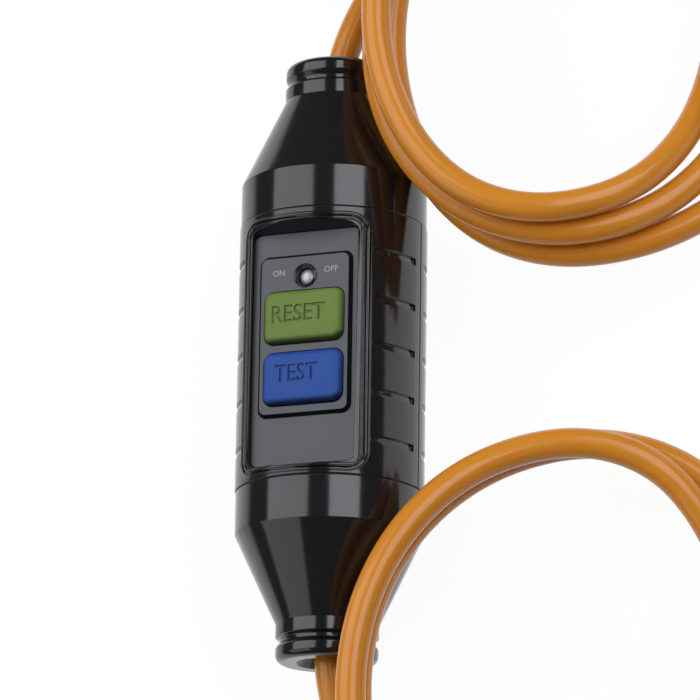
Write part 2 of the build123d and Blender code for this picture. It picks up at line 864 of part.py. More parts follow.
def make_terminals():
    hole_z = axis_z + terminal_hole_height
    top = board_z + terminal_height
    places = (-terminal_pitch, 0, terminal_pitch)
    screw_y = (terminal_start + board_half_length) / 2
    for end, name in zip(ends, ("supply_terminals", "outlet_terminals")):
        with BuildPart() as terminals:
            add(block(-terminal_half_width, terminal_half_width, end * terminal_start,
                      end * board_half_length, board_z, top))
            for x in places:
                add(turned([(0, terminal_start), (conductor_radius + fit_clearance, terminal_start),
                            (conductor_radius + fit_clearance, board_half_length), (0, board_half_length)],
                           (x, 0, hole_z), (0, end, 0)), mode=Mode.SUBTRACT)
                add(upright(terminal_screw_radius + screw_clearance, x, end * screw_y,
                            top - terminal_screw_depth, top), mode=Mode.SUBTRACT)
        save(terminals.part, name)
    with BuildPart() as screws:
        for end in ends:
            for x in places:
                add(upright(terminal_screw_radius, x, end * screw_y, top - terminal_screw_depth,
                            top - seam_depth))
    save(screws.part, "terminal_screws")


def make_conductors():
    hole_z = axis_z + terminal_hole_height
    inner_end = (terminal_start + board_half_length) / 2
    for end, name in zip(ends, ("supply_conductors", "outlet_conductors")):
        with BuildPart() as wires:
            for step in (-1, 0, 1):
                start = Vector(step * conductor_spread, end * sheath_end, axis_z)
                corner = start - Vector(0, end * conductor_tail_length, 0)
                across = step * terminal_pitch
                entry = Vector(across, end * (board_half_length + conductor_tail_length), hole_z)
                finish = Vector(across, end * inner_end, hole_z)
                with BuildLine():
                    FilletPolyline(start, corner, entry, finish, radius=conductor_bend)
                with BuildSketch(Plane(origin=start, z_dir=(0, -end, 0))):
                    Circle(conductor_radius)
                sweep()
        save(wires.part, name)


def make_sheaths():
    """The cord's sheath inside the housing, from the seal to its stripped end."""
    for end, name in zip(ends, ("supply_sheath", "outlet_sheath")):
        profile = [(0, sheath_end), (cord_radius, sheath_end), (cord_radius, seal_pocket_end),
                   (0, seal_pocket_end)]
        save(turned(profile, housing_origin, (0, end, 0)), name)


def make_window():
    top = plateau_z + window_ring_proud
    with BuildPart() as ring:
        add(upright(window_ring_radius, window_x, window_y, plateau_z, top))
        add(upright(window_hole_radius - fit_clearance, window_x, window_y, seat_z + fit_clearance,
                    plateau_z))
        add(upright(window_ring_bore, window_x, window_y, seat_z, closed_depth), mode=Mode.SUBTRACT)
        fillet(ring.faces().sort_by(Axis.Z)[-1].edges(), window_ring_softening)
    save(ring.part, "window_ring")
    radius = window_ring_bore - screw_clearance
    dome_radius = (radius ** 2 + lens_proud ** 2) / (2 * lens_proud)
    crown = plateau_z + lens_proud
    with BuildPart() as lens:
        add(upright(radius, window_x, window_y, seat_z + fit_clearance, crown))
        with Locations((window_x, window_y, crown - dome_radius)):
            Sphere(dome_radius, mode=Mode.INTERSECT)
    save(lens.part, "window_lens")
    flag_top = seat_z - flag_clearance
    save(block(window_x - flag_travel - flag_half_length / 2, window_x + flag_half_length / 2,
               window_y - flag_width / 2, window_y + flag_width / 2,
               flag_top - flag_thickness, flag_top), "flag")


def make_cap_seals():
    """Rubber rings squeezed between each cap's edge and the shells' shoulder."""
    for end, name in zip(ends, ("supply_cap_ring", "outlet_cap_ring")):
        outer = cap_radius - seam_depth
        profile = [
            (spigot_radius + screw_clearance, shell_half_length),
            (outer, shell_half_length),
            (outer, shell_half_length + cap_gap),
            (spigot_radius + screw_clearance, shell_half_length + cap_gap),
        ]
        with BuildPart() as ring:
            add(turned(profile, housing_origin, (0, end, 0)))
            add(block(-shell_radius, shell_radius, -closed_depth, closed_depth, -shell_radius, 0),
                mode=Mode.SUBTRACT)
        save(ring.part, name)


# Coils of cord beside the housing. Each turn passes its right, near, left and far points.
upper_start = (87.3, 189.4)
upper_right = [(162.3, 106.5), (144.3, 114.4), (130.6, 125.0)]
upper_near = [(85.4, 31.7), (85.9, 36.2), (82.7, 41.5)]
upper_left = [(23.8, 111.1), (22.9, 103.7), (26.7, 114.1)]
upper_far = [(89.0, 192.5), (79.5, 178.7), (86.0, 202.0)]
upper_near_height = [28.1, 39.1, 50.2]
upper_left_height = [40.2, 51.4, 61.9]
upper_far_height = [23.7, 37.4, 39.0]
lower_start = (79.0, -201.7)
lower_right = [(156.8, -128.5), (139.9, -122.0)]
lower_near = [(91.2, -33.4), (89.5, -36.0)]
lower_left = [(20.5, -116.2), (23.3, -119.8)]
lower_far = [(80.1, -195.7), (84.0, -202.0)]
lower_near_height = [21.9, 35.5]
lower_left_height = [54.8, 67.0]
lower_far_height = [24.1, 37.9]
coil_slope = 0.25
last_slope = 0.1
last_inward = 0.2
entry_rise = 0.25
gap_sample_steps = 12
gap_skip = 45.0
straight_tolerance = 1e-6
corner_share = 0.45


def coil_waypoints(start, right, near, left, far, heights, turn_way):
    """Points and directions of the cord's axis round a tilted, spreading coil.

    turn_way is 1 where the far end of the coil lies towards +Y, and -1 where it lies towards -Y.
    """
    near_height, left_height, far_height = heights
    first = Vector(start[0], start[1], cord_floor)
    entering = Vector(1, turn_way * entry_rise, 0).normalized()
    way = [(first, entering), (first + entering * cord_diameter, entering)]
    last = len(right) - 1
    for turn in range(len(right)):
        passing = Vector(1, 0, -coil_slope)
        if turn == last:
            passing = Vector(1, -turn_way * last_inward, -last_slope)
        way.append((Vector(*right[turn], cord_floor), Vector(0, -turn_way, 0)))
        way.append((Vector(*near[turn], near_height[turn]), Vector(-1, 0, coil_slope)))
        way.append((Vector(*left[turn], left_height[turn]), Vector(0, turn_way, 0)))
        way.append((Vector(*far[turn], far_height[turn]), passing))
    leaving = way[-1][1].normalized()
    way.append((way[-1][0] + leaving * cord_diameter, leaving))
    return way


def coil_edges(way):
    """Tangent arcs, two between each pair of waypoints, and straight ends."""
    edges = []
    for (start, leave), (finish, arrive) in zip(way, way[1:]):
        leave = leave.normalized()
        arrive = arrive.normalized()
        chord = finish - start
        off_line = chord.normalized().cross(leave).length + leave.cross(arrive).length
        if off_line < straight_tolerance:
            edges.append(Line(start, finish, mode=Mode.PRIVATE))
            continue
        bend = 2 * (1 - leave.dot(arrive))
        along = chord.dot(leave + arrive)
        reach = (math.sqrt(along * along + bend * chord.dot(chord)) - along) / bend
        inner_start = start + leave * reach
        inner_finish = finish - arrive * reach
        middle = (inner_start + inner_finish) / 2
        edges.append(TangentArc(start, middle, tangent=leave, mode=Mode.PRIVATE))
        edges.append(TangentArc(middle, finish, tangent=inner_finish - inner_start, mode=Mode.PRIVATE))
    return edges


def least_gap(edges):
    """Least clear distance between turns of one coil, measured on points of its axis."""
    points = []
    travelled = 0.0
    for edge in edges:
        for step in range(gap_sample_steps):
            share = step / gap_sample_steps
            points.append((travelled + share * edge.length, edge.position_at(share)))
        travelled += edge.length
    least = travelled
    for index, (here, point) in enumerate(points):
        for there, other in points[index + 1:]:
            if there - here > gap_skip:
                least = min(least, (point - other).length)
    return least - cord_diameter


def make_coil(way, name):
    edges = coil_edges(way)
    start, leave = way[0]
    with BuildPart() as coil:
        with BuildLine():
            for edge in edges:
                add(edge)
        with BuildSketch(Plane(origin=start, z_dir=leave)):
            Circle(cord_radius)
        sweep()
    length = sum(edge.length for edge in edges)
    section = math.pi * cord_radius ** 2
    print(f"{name}: length {length:.1f}, volume ratio {coil.part.volume / (section * length):.4f}, "
          f"least gap {least_gap(edges):.2f}")
    save(coil.part, name)


def corner_radii(points):
    """Radius of each corner's arc: a share of the shorter run over the tangent of half the turn."""
    radii = []
    for before, corner, after in zip(points, points[1:], points[2:]):
        arriving = corner - before
        leaving = after - corner
        half_turn = math.radians(arriving.get_angle(leaving)) / 2
        radii.append(corner_share * min(arriving.length, leaving.length) / math.tan(half_turn))
    return radii


def make_tube(points, name):
    points = [Vector(*point) for point in points]
    radii = corner_radii(points)
    with BuildPart() as tube:
        with BuildLine() as route:
            FilletPolyline(*points, radius=radii)
        with BuildSketch(Plane(origin=points[0], z_dir=points[1] - points[0])):
            Circle(cord_radius)
        sweep()
    length = sum(edge.length for edge in route.edges())
    section = math.pi * cord_radius ** 2
    print(f"{name}: length {length:.1f}, volume ratio {tube.part.volume / (section * length):.4f}, "
          f"radii {[round(radius) for radius in radii]}")
    save(tube.part, name)


upper_way = coil_waypoints(upper_start, upper_right, upper_near, upper_left, upper_far,
                           (upper_near_height, upper_left_height, upper_far_height), 1)
lower_way = coil_waypoints(lower_start, lower_right, lower_near, lower_left, lower_far,
                           (lower_near_height, lower_left_height, lower_far_height), -1)

# Free stretches of cord, as points chosen by eye along the photographed run.
lead_run = 20.0
tail_run = 15.5
supply_lead_points = [
    (0, seal_pocket_end, axis_z),
    (0, 97, axis_z),
    (2.9, 112.5, 29.8),
    (9.5, 131, 25.5),
    (20.5, 149, 20),
    (33.9, 163.9, 14.5),
    (49.9, 175.9, 9.5),
]
outlet_lead_points = [
    (0, -seal_pocket_end, axis_z),
    (0, -97, axis_z),
    (1.5, -113, 29.9),
    (5.5, -133, 25.2),
    (13.5, -152.5, 19.3),
    (25.5, -169.5, 13),
    (41, -184, 7.5),
]
supply_tail_points = [
    (124.7, 189.9, 34.9),
    (136, 179.3, 32.2),
]
outlet_tail_points = [
    (122.3, -190.1, 35.2),
    (133.5, -179.6, 35.2),
]


def run_to_coil(points, way):
    """A lead's points, ended square on the start of its coil."""
    start, entering = way[0]
    return points + [start - entering * lead_run, start]


def run_from_coil(way, points, entry, heading):
    """A tail's points, square on the end of its coil and on the piece that it enters."""
    finish, leaving = way[-1]
    entry = Vector(*entry)
    return [finish, finish + leaving * tail_run] + points + [entry - heading * tail_run, entry]


def make_cords():
    make_coil(upper_way, "supply_cord_coil")
    make_coil(lower_way, "outlet_cord_coil")
    make_tube(run_to_coil(supply_lead_points, upper_way), "supply_cord_lead")
    make_tube(run_to_coil(outlet_lead_points, lower_way), "outlet_cord_lead")
    make_tube(run_from_coil(upper_way, supply_tail_points, plug_entry, plug_heading), "supply_cord_tail")
    make_tube(run_from_coil(lower_way, outlet_tail_points, socket_entry, socket_heading), "outlet_cord_tail")


def face_frame(face, heading, distance):
    """Plane across a piece's axis, at a distance behind its face, looking out of the face."""
    return Plane(origin=face - heading * distance, x_dir=Vector(0, 0, 1).cross(heading), z_dir=heading)


def make_plug():
    back = plug_tail_length
    backward = -plug_heading
    front = face_frame(plug_face, plug_heading, 0)
    rounding = pin_rounding
    profile = [
        (0, 0),
        (plug_radius - rounding, 0),
        (plug_radius, rounding),
        (plug_radius, plug_body_length),
        (plug_waist_radius, plug_waist),
        (plug_tail_radius, back),
        (0, back),
    ]
    with BuildPart() as body:
        add(turned(profile, plug_face, backward))
        with BuildSketch(front):
            with GridLocations(pin_spacing, 0, 2, 1):
                Circle(pin_collar_radius + screw_clearance)
        extrude(amount=-pin_root, mode=Mode.SUBTRACT)
        with BuildSketch(front):
            with GridLocations(0, 2 * plug_radius - earth_slot_depth, 1, 2):
                Rectangle(earth_slot_width, earth_slot_depth)
        extrude(amount=-earth_slot_length, mode=Mode.SUBTRACT)
        with BuildSketch(front):
            with Locations((0, plug_earth_offset)):
                Circle(earth_hole_radius)
        extrude(amount=-earth_hole_depth, mode=Mode.SUBTRACT)
    save(body.part, "plug_body")
    with BuildPart() as pins:
        with BuildSketch(front):
            with GridLocations(pin_spacing, 0, 2, 1):
                Circle(pin_radius)
        extrude(amount=pin_length)
        fillet(pins.faces().sort_by(Axis(plug_face, plug_heading))[-2:].edges(), pin_rounding)
        with BuildSketch(front):
            with GridLocations(pin_spacing, 0, 2, 1):
                Circle(pin_collar_radius)
        extrude(amount=-pin_root)
    save(pins.part, "plug_pins")
    strip_middle = plug_radius - earth_slot_depth + earth_strip_thickness / 2
    with BuildPart() as strips:
        with BuildSketch(face_frame(plug_face, plug_heading, pin_rounding)):
            with GridLocations(0, 2 * strip_middle, 1, 2):
                Rectangle(earth_slot_width - 2 * fit_clearance, earth_strip_thickness)
        extrude(amount=pin_rounding - earth_slot_length)
    save(strips.part, "plug_earth_strips")
    sleeve = [
        (cord_radius + screw_clearance, back),
        (plug_sleeve_root, back),
        (plug_sleeve_tip, back + plug_sleeve_length),
        (cord_radius + screw_clearance, back + plug_sleeve_length),
    ]
    save(turned(sleeve, plug_face, backward), "plug_sleeve")


def make_socket():
    back = socket_body_length
    backward = -socket_heading
    insert_outer = well_radius - fit_clearance
    insert_back = well_depth + insert_thickness
    profile = [
        (well_radius, 0),
        (socket_radius - pin_rounding, 0),
        (socket_radius, pin_rounding),
        (socket_radius, socket_head_length),
        (socket_waist_radius, socket_waist),
        (socket_tail_radius, back),
        (0, back),
        (0, insert_back),
        (insert_outer - insert_rim, insert_back),
        (insert_outer - insert_rim, well_depth + insert_rim),
        (well_radius, well_depth + insert_rim),
    ]
    save(turned(profile, socket_face, backward), "socket_body")
    insert_profile = [
        (0, well_depth),
        (insert_outer, well_depth),
        (insert_outer, well_depth + insert_rim),
        (insert_outer - insert_rim - fit_clearance, well_depth + insert_rim),
        (insert_outer - insert_rim - fit_clearance, insert_back),
        (0, insert_back),
    ]
    with BuildPart() as insert:
        add(turned(insert_profile, socket_face, backward))
        with BuildSketch(face_frame(socket_face, socket_heading, well_depth)):
            with GridLocations(pin_spacing, 0, 2, 1):
                Circle(pin_hole_radius)
        extrude(amount=-pin_hole_depth, mode=Mode.SUBTRACT)
    save(insert.part, "socket_insert")
    clip_height = well_radius - earth_strip_thickness
    with BuildPart() as clips:
        with BuildSketch(face_frame(socket_face, socket_heading, 0)):
            with GridLocations(0, 2 * clip_height, 1, 2):
                Rectangle(earth_clip_width, earth_strip_thickness)
        extrude(amount=-well_depth)
    save(clips.part, "socket_earth_clips")
    sleeve = [
        (cord_radius + screw_clearance, back),
        (plug_sleeve_root, back),
        (plug_sleeve_tip, back + socket_sleeve_length),
        (cord_radius + screw_clearance, back + socket_sleeve_length),
    ]
    save(turned(sleeve, socket_face, backward), "socket_sleeve")


make_front_shell()
make_back_shell()
make_gasket()
make_caps()
make_seals()
make_cap_seals()
make_clamps()
make_housing_screws()
make_face_plate()
make_buttons()
make_springs()
make_button_guide()
make_button_contacts()
make_board()
make_relay()
make_contacts()
make_sensing_coil()
make_board_parts()
make_terminals()
make_conductors()
make_sheaths()
make_window()
make_cords()
make_plug()
make_socket()
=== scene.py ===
import json
import math
from functools import cache, partial

import bmesh
import bpy
from bpy.props import FloatProperty, FloatVectorProperty, IntProperty, PointerProperty
from bpy.types import Operator, Panel, PropertyGroup
from mathutils import Matrix, Vector
from mathutils.bvhtree import BVHTree
from mathutils.geometry import interpolate_bezier


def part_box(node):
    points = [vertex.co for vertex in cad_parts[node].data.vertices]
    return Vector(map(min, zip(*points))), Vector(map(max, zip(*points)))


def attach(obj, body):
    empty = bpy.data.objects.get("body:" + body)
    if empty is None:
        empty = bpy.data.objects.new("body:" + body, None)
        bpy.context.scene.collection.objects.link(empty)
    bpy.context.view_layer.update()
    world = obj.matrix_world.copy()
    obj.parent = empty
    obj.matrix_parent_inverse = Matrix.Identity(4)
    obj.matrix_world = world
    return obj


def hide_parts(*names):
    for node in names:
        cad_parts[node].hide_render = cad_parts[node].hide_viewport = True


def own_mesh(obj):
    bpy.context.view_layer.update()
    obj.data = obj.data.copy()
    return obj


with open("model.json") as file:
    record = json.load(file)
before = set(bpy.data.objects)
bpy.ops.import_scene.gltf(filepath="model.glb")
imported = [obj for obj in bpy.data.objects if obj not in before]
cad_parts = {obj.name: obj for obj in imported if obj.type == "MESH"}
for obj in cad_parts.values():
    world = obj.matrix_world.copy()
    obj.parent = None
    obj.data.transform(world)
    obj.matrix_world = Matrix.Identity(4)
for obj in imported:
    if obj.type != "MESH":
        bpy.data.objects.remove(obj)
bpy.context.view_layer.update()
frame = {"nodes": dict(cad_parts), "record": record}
nodes = frame["nodes"]

bl_info = {
    "name": "RCD extension lead",
    "version": (1, 0, 0),
    "blender": (4, 5, 0),
    "location": "3D View > Sidebar > RCD lead",
    "description": "Dresses an in-line safety switch, its plug, its coupler and its cords",
    "category": "Object",
}

# The camera of the photograph.
CAMERA_PLACE = (0.62706, -0.43042, 1.55139)
CAMERA_TARGET = (0.00607, 0.00413, 0.02970)
CAMERA_UP = (0.08170, 0.96665, 0.24271)
CAMERA_LENS_MM = 257.68

# The studio. Each lamp has a tilt in degrees about the housing's axis, a width, a length and a
# place along the housing.
HOUSING_AXIS_Z = 0.031
LAMPS = {
    "left": (-31, 2.04, 2.0, 0.75),
    "right": (40.6, 1.34, 2.0, 0.75),
    "front": (-44, 2.0, 1.6, -1.05),
}
LAMP_DISTANCE = 2.0
LAMP_COLOUR = (0.94, 0.96, 1.0)
WHITE = (1, 1, 1)
WORLD_COLOUR = (0.93, 0.96, 1)
WORLD_GLOSS = 0.12
FLOOR_SIZE = 6
FLOOR_GLOW = 0.86
FLOOR_STRENGTH = 1.10
FADE_START = 0.10
FADE_END = 0.90

# The cords' routes, on the cord's axis.
CORD_FLOOR = 0.0051
ENTRY_RISE = 0.25
COIL_SLOPE = 0.25
LAST_SLOPE = 0.1
LAST_INWARD = 0.2
COIL_END_STRAIGHT = 0.010
LEAD_RUN = 0.020
TAIL_RUN = 0.0155
QUARTER_STEPS = 4
QUARTER_PULL = 0.39
CUT_CORNER = 1 / 8
PIECE_TURN = math.radians(15)
PLUG_HEADING = Vector((math.sin(PIECE_TURN), -math.cos(PIECE_TURN), 0))
COUPLER_HEADING = Vector((math.sin(PIECE_TURN), math.cos(PIECE_TURN), 0))
PLUG_ENTRY = Vector((0.1480, 0.1511, 0.0305))
COUPLER_ENTRY = Vector((0.1453, -0.1517, 0.0352))
SUPPLY_EXIT = (0, 0.080, 0.031)
OUTLET_EXIT = (0, -0.080, 0.031)

SUPPLY_COIL = {
    "way": 1,
    "start": (0.0873, 0.1894),
    "right": [(0.1623, 0.1065), (0.1443, 0.1144), (0.1306, 0.1250)],
    "near": [(0.0854, 0.0317, 0.0281), (0.0859, 0.0362, 0.0391), (0.0827, 0.0415, 0.0502)],
    "left": [(0.0238, 0.1111, 0.0402), (0.0229, 0.1037, 0.0514), (0.0267, 0.1141, 0.0619)],
    "far": [(0.0890, 0.1925, 0.0237), (0.0795, 0.1787, 0.0374), (0.0860, 0.2020, 0.0390)],
}
OUTLET_COIL = {
    "way": -1,
    "start": (0.0790, -0.2017),
    "right": [(0.1568, -0.1285), (0.1399, -0.1220)],
    "near": [(0.0912, -0.0334, 0.0219), (0.0895, -0.0360, 0.0355)],
    "left": [(0.0205, -0.1162, 0.0548), (0.0233, -0.1198, 0.0670)],
    "far": [(0.0801, -0.1957, 0.0241), (0.0840, -0.2020, 0.0379)],
}
SUPPLY_LEAD = [
    SUPPLY_EXIT,
    (0, 0.097, 0.031),
    (0.0029, 0.1125, 0.0298),
    (0.0095, 0.131, 0.0255),
    (0.0205, 0.149, 0.020),
    (0.0339, 0.1639, 0.0145),
    (0.0499, 0.1759, 0.0095),
]
OUTLET_LEAD = [
    OUTLET_EXIT,
    (0, -0.097, 0.031),
    (0.0015, -0.113, 0.0299),
    (0.0055, -0.133, 0.0252),
    (0.0135, -0.1525, 0.0193),
    (0.0255, -0.1695, 0.013),
    (0.041, -0.184, 0.0075),
]
SUPPLY_TAIL = [
    (0.1247, 0.1899, 0.0349),
    (0.136, 0.1793, 0.0322),
    PLUG_ENTRY - PLUG_HEADING * TAIL_RUN,
    PLUG_ENTRY,
]
OUTLET_TAIL = [
    (0.1223, -0.1901, 0.0352),
    (0.1335, -0.1796, 0.0352),
    COUPLER_ENTRY - COUPLER_HEADING * TAIL_RUN,
    COUPLER_ENTRY,
]

# The plug and the coupler along their axes, with the rings and grip ridges on them.
SLEEVE_LENGTH = 0.026
PLUG_LENGTH = 0.036
COUPLER_LENGTH = 0.046
RINGS = {"First": 0.0014, "Pitch": 0.0026, "Radius": 0.00655, "Taper": -0.00016, "Bead": 0.0009}
PLUG_RIDGES = {"Radius": 0.0190, "Middle": 0.0115, "Half Length": 0.0075, "Half Width": 0.0011}
COUPLER_RIDGES = {"Radius": 0.0235, "Middle": 0.0160, "Half Length": 0.0090, "Half Width": 0.0011}

# Heights and places on the face, as the solids have them.
PLATEAU_Z = 0.05595
SEAT_Z = 0.0523
STEP_FOOT_Z = 0.05433
STEP_HEAD_Z = 0.0559
STEEP = 0.86
WINDOW_PLACE = (0.0001, 0.0240)

# The printed words by their left edge, on one line.
PRINTED_WORDS = {"ON": -0.0117, "OFF": 0.0070}
PRINTED_Y = 0.0245
PRINT_THICKNESS = 0.00004

# The buttons, named as their bodies. A sunk word's place is measured from the middle of the
# button's left edge. A sunk word's colour is the button's made darker, as painted shade in its
# strokes.
BUTTONS = {
    "reset": {
        "y": 0.00975, "slot": "button_green", "colour": "green", "word": "RESET",
        "word_place": (0.0034, -0.00225), "word_width": 0.0193, "word_shade": 0.82},
    "test": {
        "y": -0.01145, "slot": "button_blue", "colour": "blue", "word": "TEST",
        "word_place": (0.0049, -0.00165), "word_width": 0.0153, "word_shade": 0.75},
}
BUTTON_HEIGHT = 0.0066
LEAST_CORNER = 0.0002
CROWN_REACH = 0.9
CROWN_STEPS = 6
ROUNDING_STEPS = 8
FLANGE_HALF = (0.0156, 0.0075)
FLANGE_CORNER = 0.0008
FLANGE_THICKNESS = 0.001
FLANGE_EDGE = 0.0002
STEM_RADIUS = 0.003
STEM_BOTTOM = 0.0415
STEM_EDGE = 0.0005
# Painted shade on a button's lower side: the way the surface faces, the ramp from none to full,
# and how dark it gets.
PAINTED_SHADE_FACING = (0.35, -0.9)
PAINTED_SHADE_STOPS = ((0.12, 0.0), (0.66, 1.0))
PAINTED_SHADE_LEVEL = 0.2

# The window. Each corner of its ring's section has a radius and a height, measured from others.
RIM_RISE = 0.0007
FOOT_DEPTH = 0.0023
SEAT_GAP = 0.0001
BORE_RADIUS = 0.0034
DOME_STEPS = 12
BEZEL_SECTION = (
    ("ring", 0, "plateau", 0), ("ring", 0, "rim", -0.0003),
    ("ring", -0.0002, "rim", -0.0001), ("ring", -0.0004, "rim", 0),
    ("ring", -0.0006, "rim", -0.0001), ("dome", 0.0006, "rim", -0.0008),
    ("dome", 0.00035, "foot", 0.0002), ("dome", 0.00015, "foot", 0),
    ("dome", 0.00005, "foot", 0), ("dome", 0.00005, "seat", 0),
    ("bore", 0, "seat", 0), ("bore", 0, "plateau", 0),
)

# How copies of the solids are cleaned, rounded and shaded.
MERGE_DISTANCE = 1e-6
FLAT_ANGLE = math.radians(0.5)
SHARP_ANGLE = math.radians(24)
STRAY_SHARE = 0.6
NORMAL_WEIGHT = 80
TURNED_STEPS = 64
STEM_STEPS = 32
TURNED_EDGE_ANGLE = math.radians(40)
PAD_EDGE_ANGLE = math.radians(35)
LETTER_SEAM = 0.0005
LETTER_DEPTH = 0.1
LETTER_SWELL = 0.012

# The finishes. Places and sizes are in metres.
NOISE_ROUGHNESS = 0.55
DUST_STOPS = ((0.70, 0), (0.80, 1))
DUST_GREY = (0.12, 0.12, 0.12)
DUST_COVER = 0.12
DUST_DULLNESS = 0.08
CORE_BORDER_X = 0.0018
FLAG_BORDER_X = -0.0034


def colour(name, description, default):
    """A colour that a user may change."""
    return FloatVectorProperty(
        name=name, description=description, default=default,
        subtype="COLOR", size=3, min=0, max=1)


def number(name, description, default, **more):
    """A number that a user may change."""
    return FloatProperty(name=name, description=description, default=default, min=0, **more)


distance = partial(number, subtype="DISTANCE", unit="LENGTH", precision=5)
share = partial(number, subtype="FACTOR", max=1)
power = partial(number, unit="POWER")


def grouped(name, description, kind):
    """A group of settings."""
    return PointerProperty(name=name, description=description, type=kind)


class HousingSettings(PropertyGroup):
    plastic: colour("Plastic", "Colour of the shells and caps", (0.0065, 0.0065, 0.007))
    gloss_roughness: share("Roughness", "How blurred the plastic's reflections are", 0.13)
    edge_softness: distance("Edge softness", "Width of the rounding on moulded edges", 0.0003)
    peel_size: distance("Ripple size", "Width of the faint ripples in the surface", 0.004)


class FaceSettings(PropertyGroup):
    panel: colour("Panel", "Colour of the satin panel", (0.036, 0.037, 0.046))
    panel_roughness: share("Roughness", "How blurred the panel's reflections are", 0.42)
    ink: colour("Printing", "Colour of the words beside the window", (0.36, 0.36, 0.39))
    word_height: distance("Word height", "Height of the words beside the window", 0.0021)
    edge_softness: distance("Edge softness", "Width of the rounding on the panel's edges", 0.0002)


class ButtonSettings(PropertyGroup):
    reset_colour: colour("Reset", "Colour of the reset button", (0.155, 0.232, 0.046))
    test_colour: colour("Test", "Colour of the test button", (0.018, 0.078, 0.34))
    half_length: distance("Half length", "Half of a button's size across the housing", 0.0142)
    half_width: distance("Half width", "Half of a button's size along the housing", 0.00905)
    corner: distance("Corner", "Radius of a button's corners seen from above", 0.0034)
    rounding: distance("Rounding", "Radius of the rounding round a button's top", 0.0024)
    crown: distance("Crown", "How far the middle stands above the rounding", 0.0002)
    word_height: distance("Word height", "Height of the sunk words", 0.0061)
    word_depth: distance("Word depth", "Depth of the sunk words", 0.00035)


class WindowSettings(PropertyGroup):
    ring_radius: distance("Ring", "Outer radius of the window's ring", 0.0041)
    dome_radius: distance("Dome", "Radius of the clear dome", 0.0026)
    dome_rise: distance("Rise", "Height of the dome over its foot", 0.0012)


class CordSettings(PropertyGroup):
    sheath: colour("Sheath", "Colour of the cords", (0.74, 0.270, 0.024))
    diameter: distance("Diameter", "Diameter of both cords", 0.010)
    sheath_roughness: share("Roughness", "How blurred the sheath's reflections are", 0.20)


class PieceSettings(PropertyGroup):
    rubber: colour("Rubber", "Colour of the plug and the coupler", (0.016, 0.016, 0.017))
    rubber_roughness: share("Roughness", "How blurred the rubber's reflections are", 0.45)
    ring_count: IntProperty(
        name="Rings", description="Rings on each strain relief", default=9, min=2)
    ridge_count: IntProperty(
        name="Ridges", description="Grip ridges round each barrel", default=26, min=3)
    edge_softness: distance("Edge softness", "Width of the rounding on moulded edges", 0.0006)


class StageSettings(PropertyGroup):
    floor: colour("Floor", "Colour of the floor", (0.50, 0.50, 0.49))
    left_power: power("Left lamp", "Power of the wide soft lamp", 26)
    right_power: power("Right lamp", "Power of the narrow soft lamp", 25)
    front_power: power("Front lamp", "Power of the dim soft lamp", 9)


class LeadSettings(PropertyGroup):
    housing: grouped("Housing", "Shells and end caps", HousingSettings)
    face: grouped("Face", "Panel and its printing", FaceSettings)
    buttons: grouped("Buttons", "Reset and test buttons", ButtonSettings)
    window: grouped("Window", "State window", WindowSettings)
    cords: grouped("Cords", "Supply and outlet cords", CordSettings)
    pieces: grouped("Plug and coupler", "Pieces on the cords", PieceSettings)
    stage: grouped("Stage", "Floor and lamps", StageSettings)


def maths(operation, reflected=False):
    """A method that works out a value and another number with a Math node."""
    def method(self, other):
        pair = (other, self) if reflected else (self, other)
        return self.worked(operation, *pair)
    return method


class Value:
    """A number that varies over a surface. An expression on values adds its Math nodes."""

    def __init__(self, maker, socket):
        self.maker = maker
        self.socket = socket

    def worked(self, operation, first, second=0.0):
        outputs = self.maker.node("ShaderNodeMath", {0: first, 1: second}, operation=operation)
        return Value(self.maker, outputs[0])

    __add__, __radd__ = maths("ADD"), maths("ADD", reflected=True)
    __sub__, __rsub__ = maths("SUBTRACT"), maths("SUBTRACT", reflected=True)
    __mul__, __rmul__ = maths("MULTIPLY"), maths("MULTIPLY", reflected=True)
    __truediv__, __rtruediv__ = maths("DIVIDE"), maths("DIVIDE", reflected=True)
    __gt__, __lt__ = maths("GREATER_THAN"), maths("LESS_THAN")


class NodeMaker:
    """Fills a node tree, which is emptied first."""

    def __init__(self, tree):
        self.tree = tree
        tree.nodes.clear()

    def node(self, kind, sockets=None, **settings):
        """Add a node: its settings, then the values or links of its sockets. Gives its outputs."""
        node = self.tree.nodes.new(kind)
        for key, value in settings.items():
            if key == "stops":
                self.set_stops(node.color_ramp, value)
            else:
                setattr(node, key, value)
        for key, value in (sockets or {}).items():
            self.feed(node.inputs[key], value)
        return node.outputs

    def set_stops(self, ramp, stops):
        """The two stops of a colour ramp, from (place, grey level) pairs."""
        for element, (place, level) in zip(ramp.elements, stops):
            element.position = place
            element.color = (level, level, level, 1)

    def feed(self, socket, value):
        """Link a value or a socket to a socket, or set a plain number or colour on it."""
        if isinstance(value, Value):
            value = value.socket
        if isinstance(value, bpy.types.NodeSocket):
            self.tree.links.new(value, socket)
        elif socket.type == "RGBA":
            socket.default_value = (*value, 1)
        else:
            socket.default_value = value


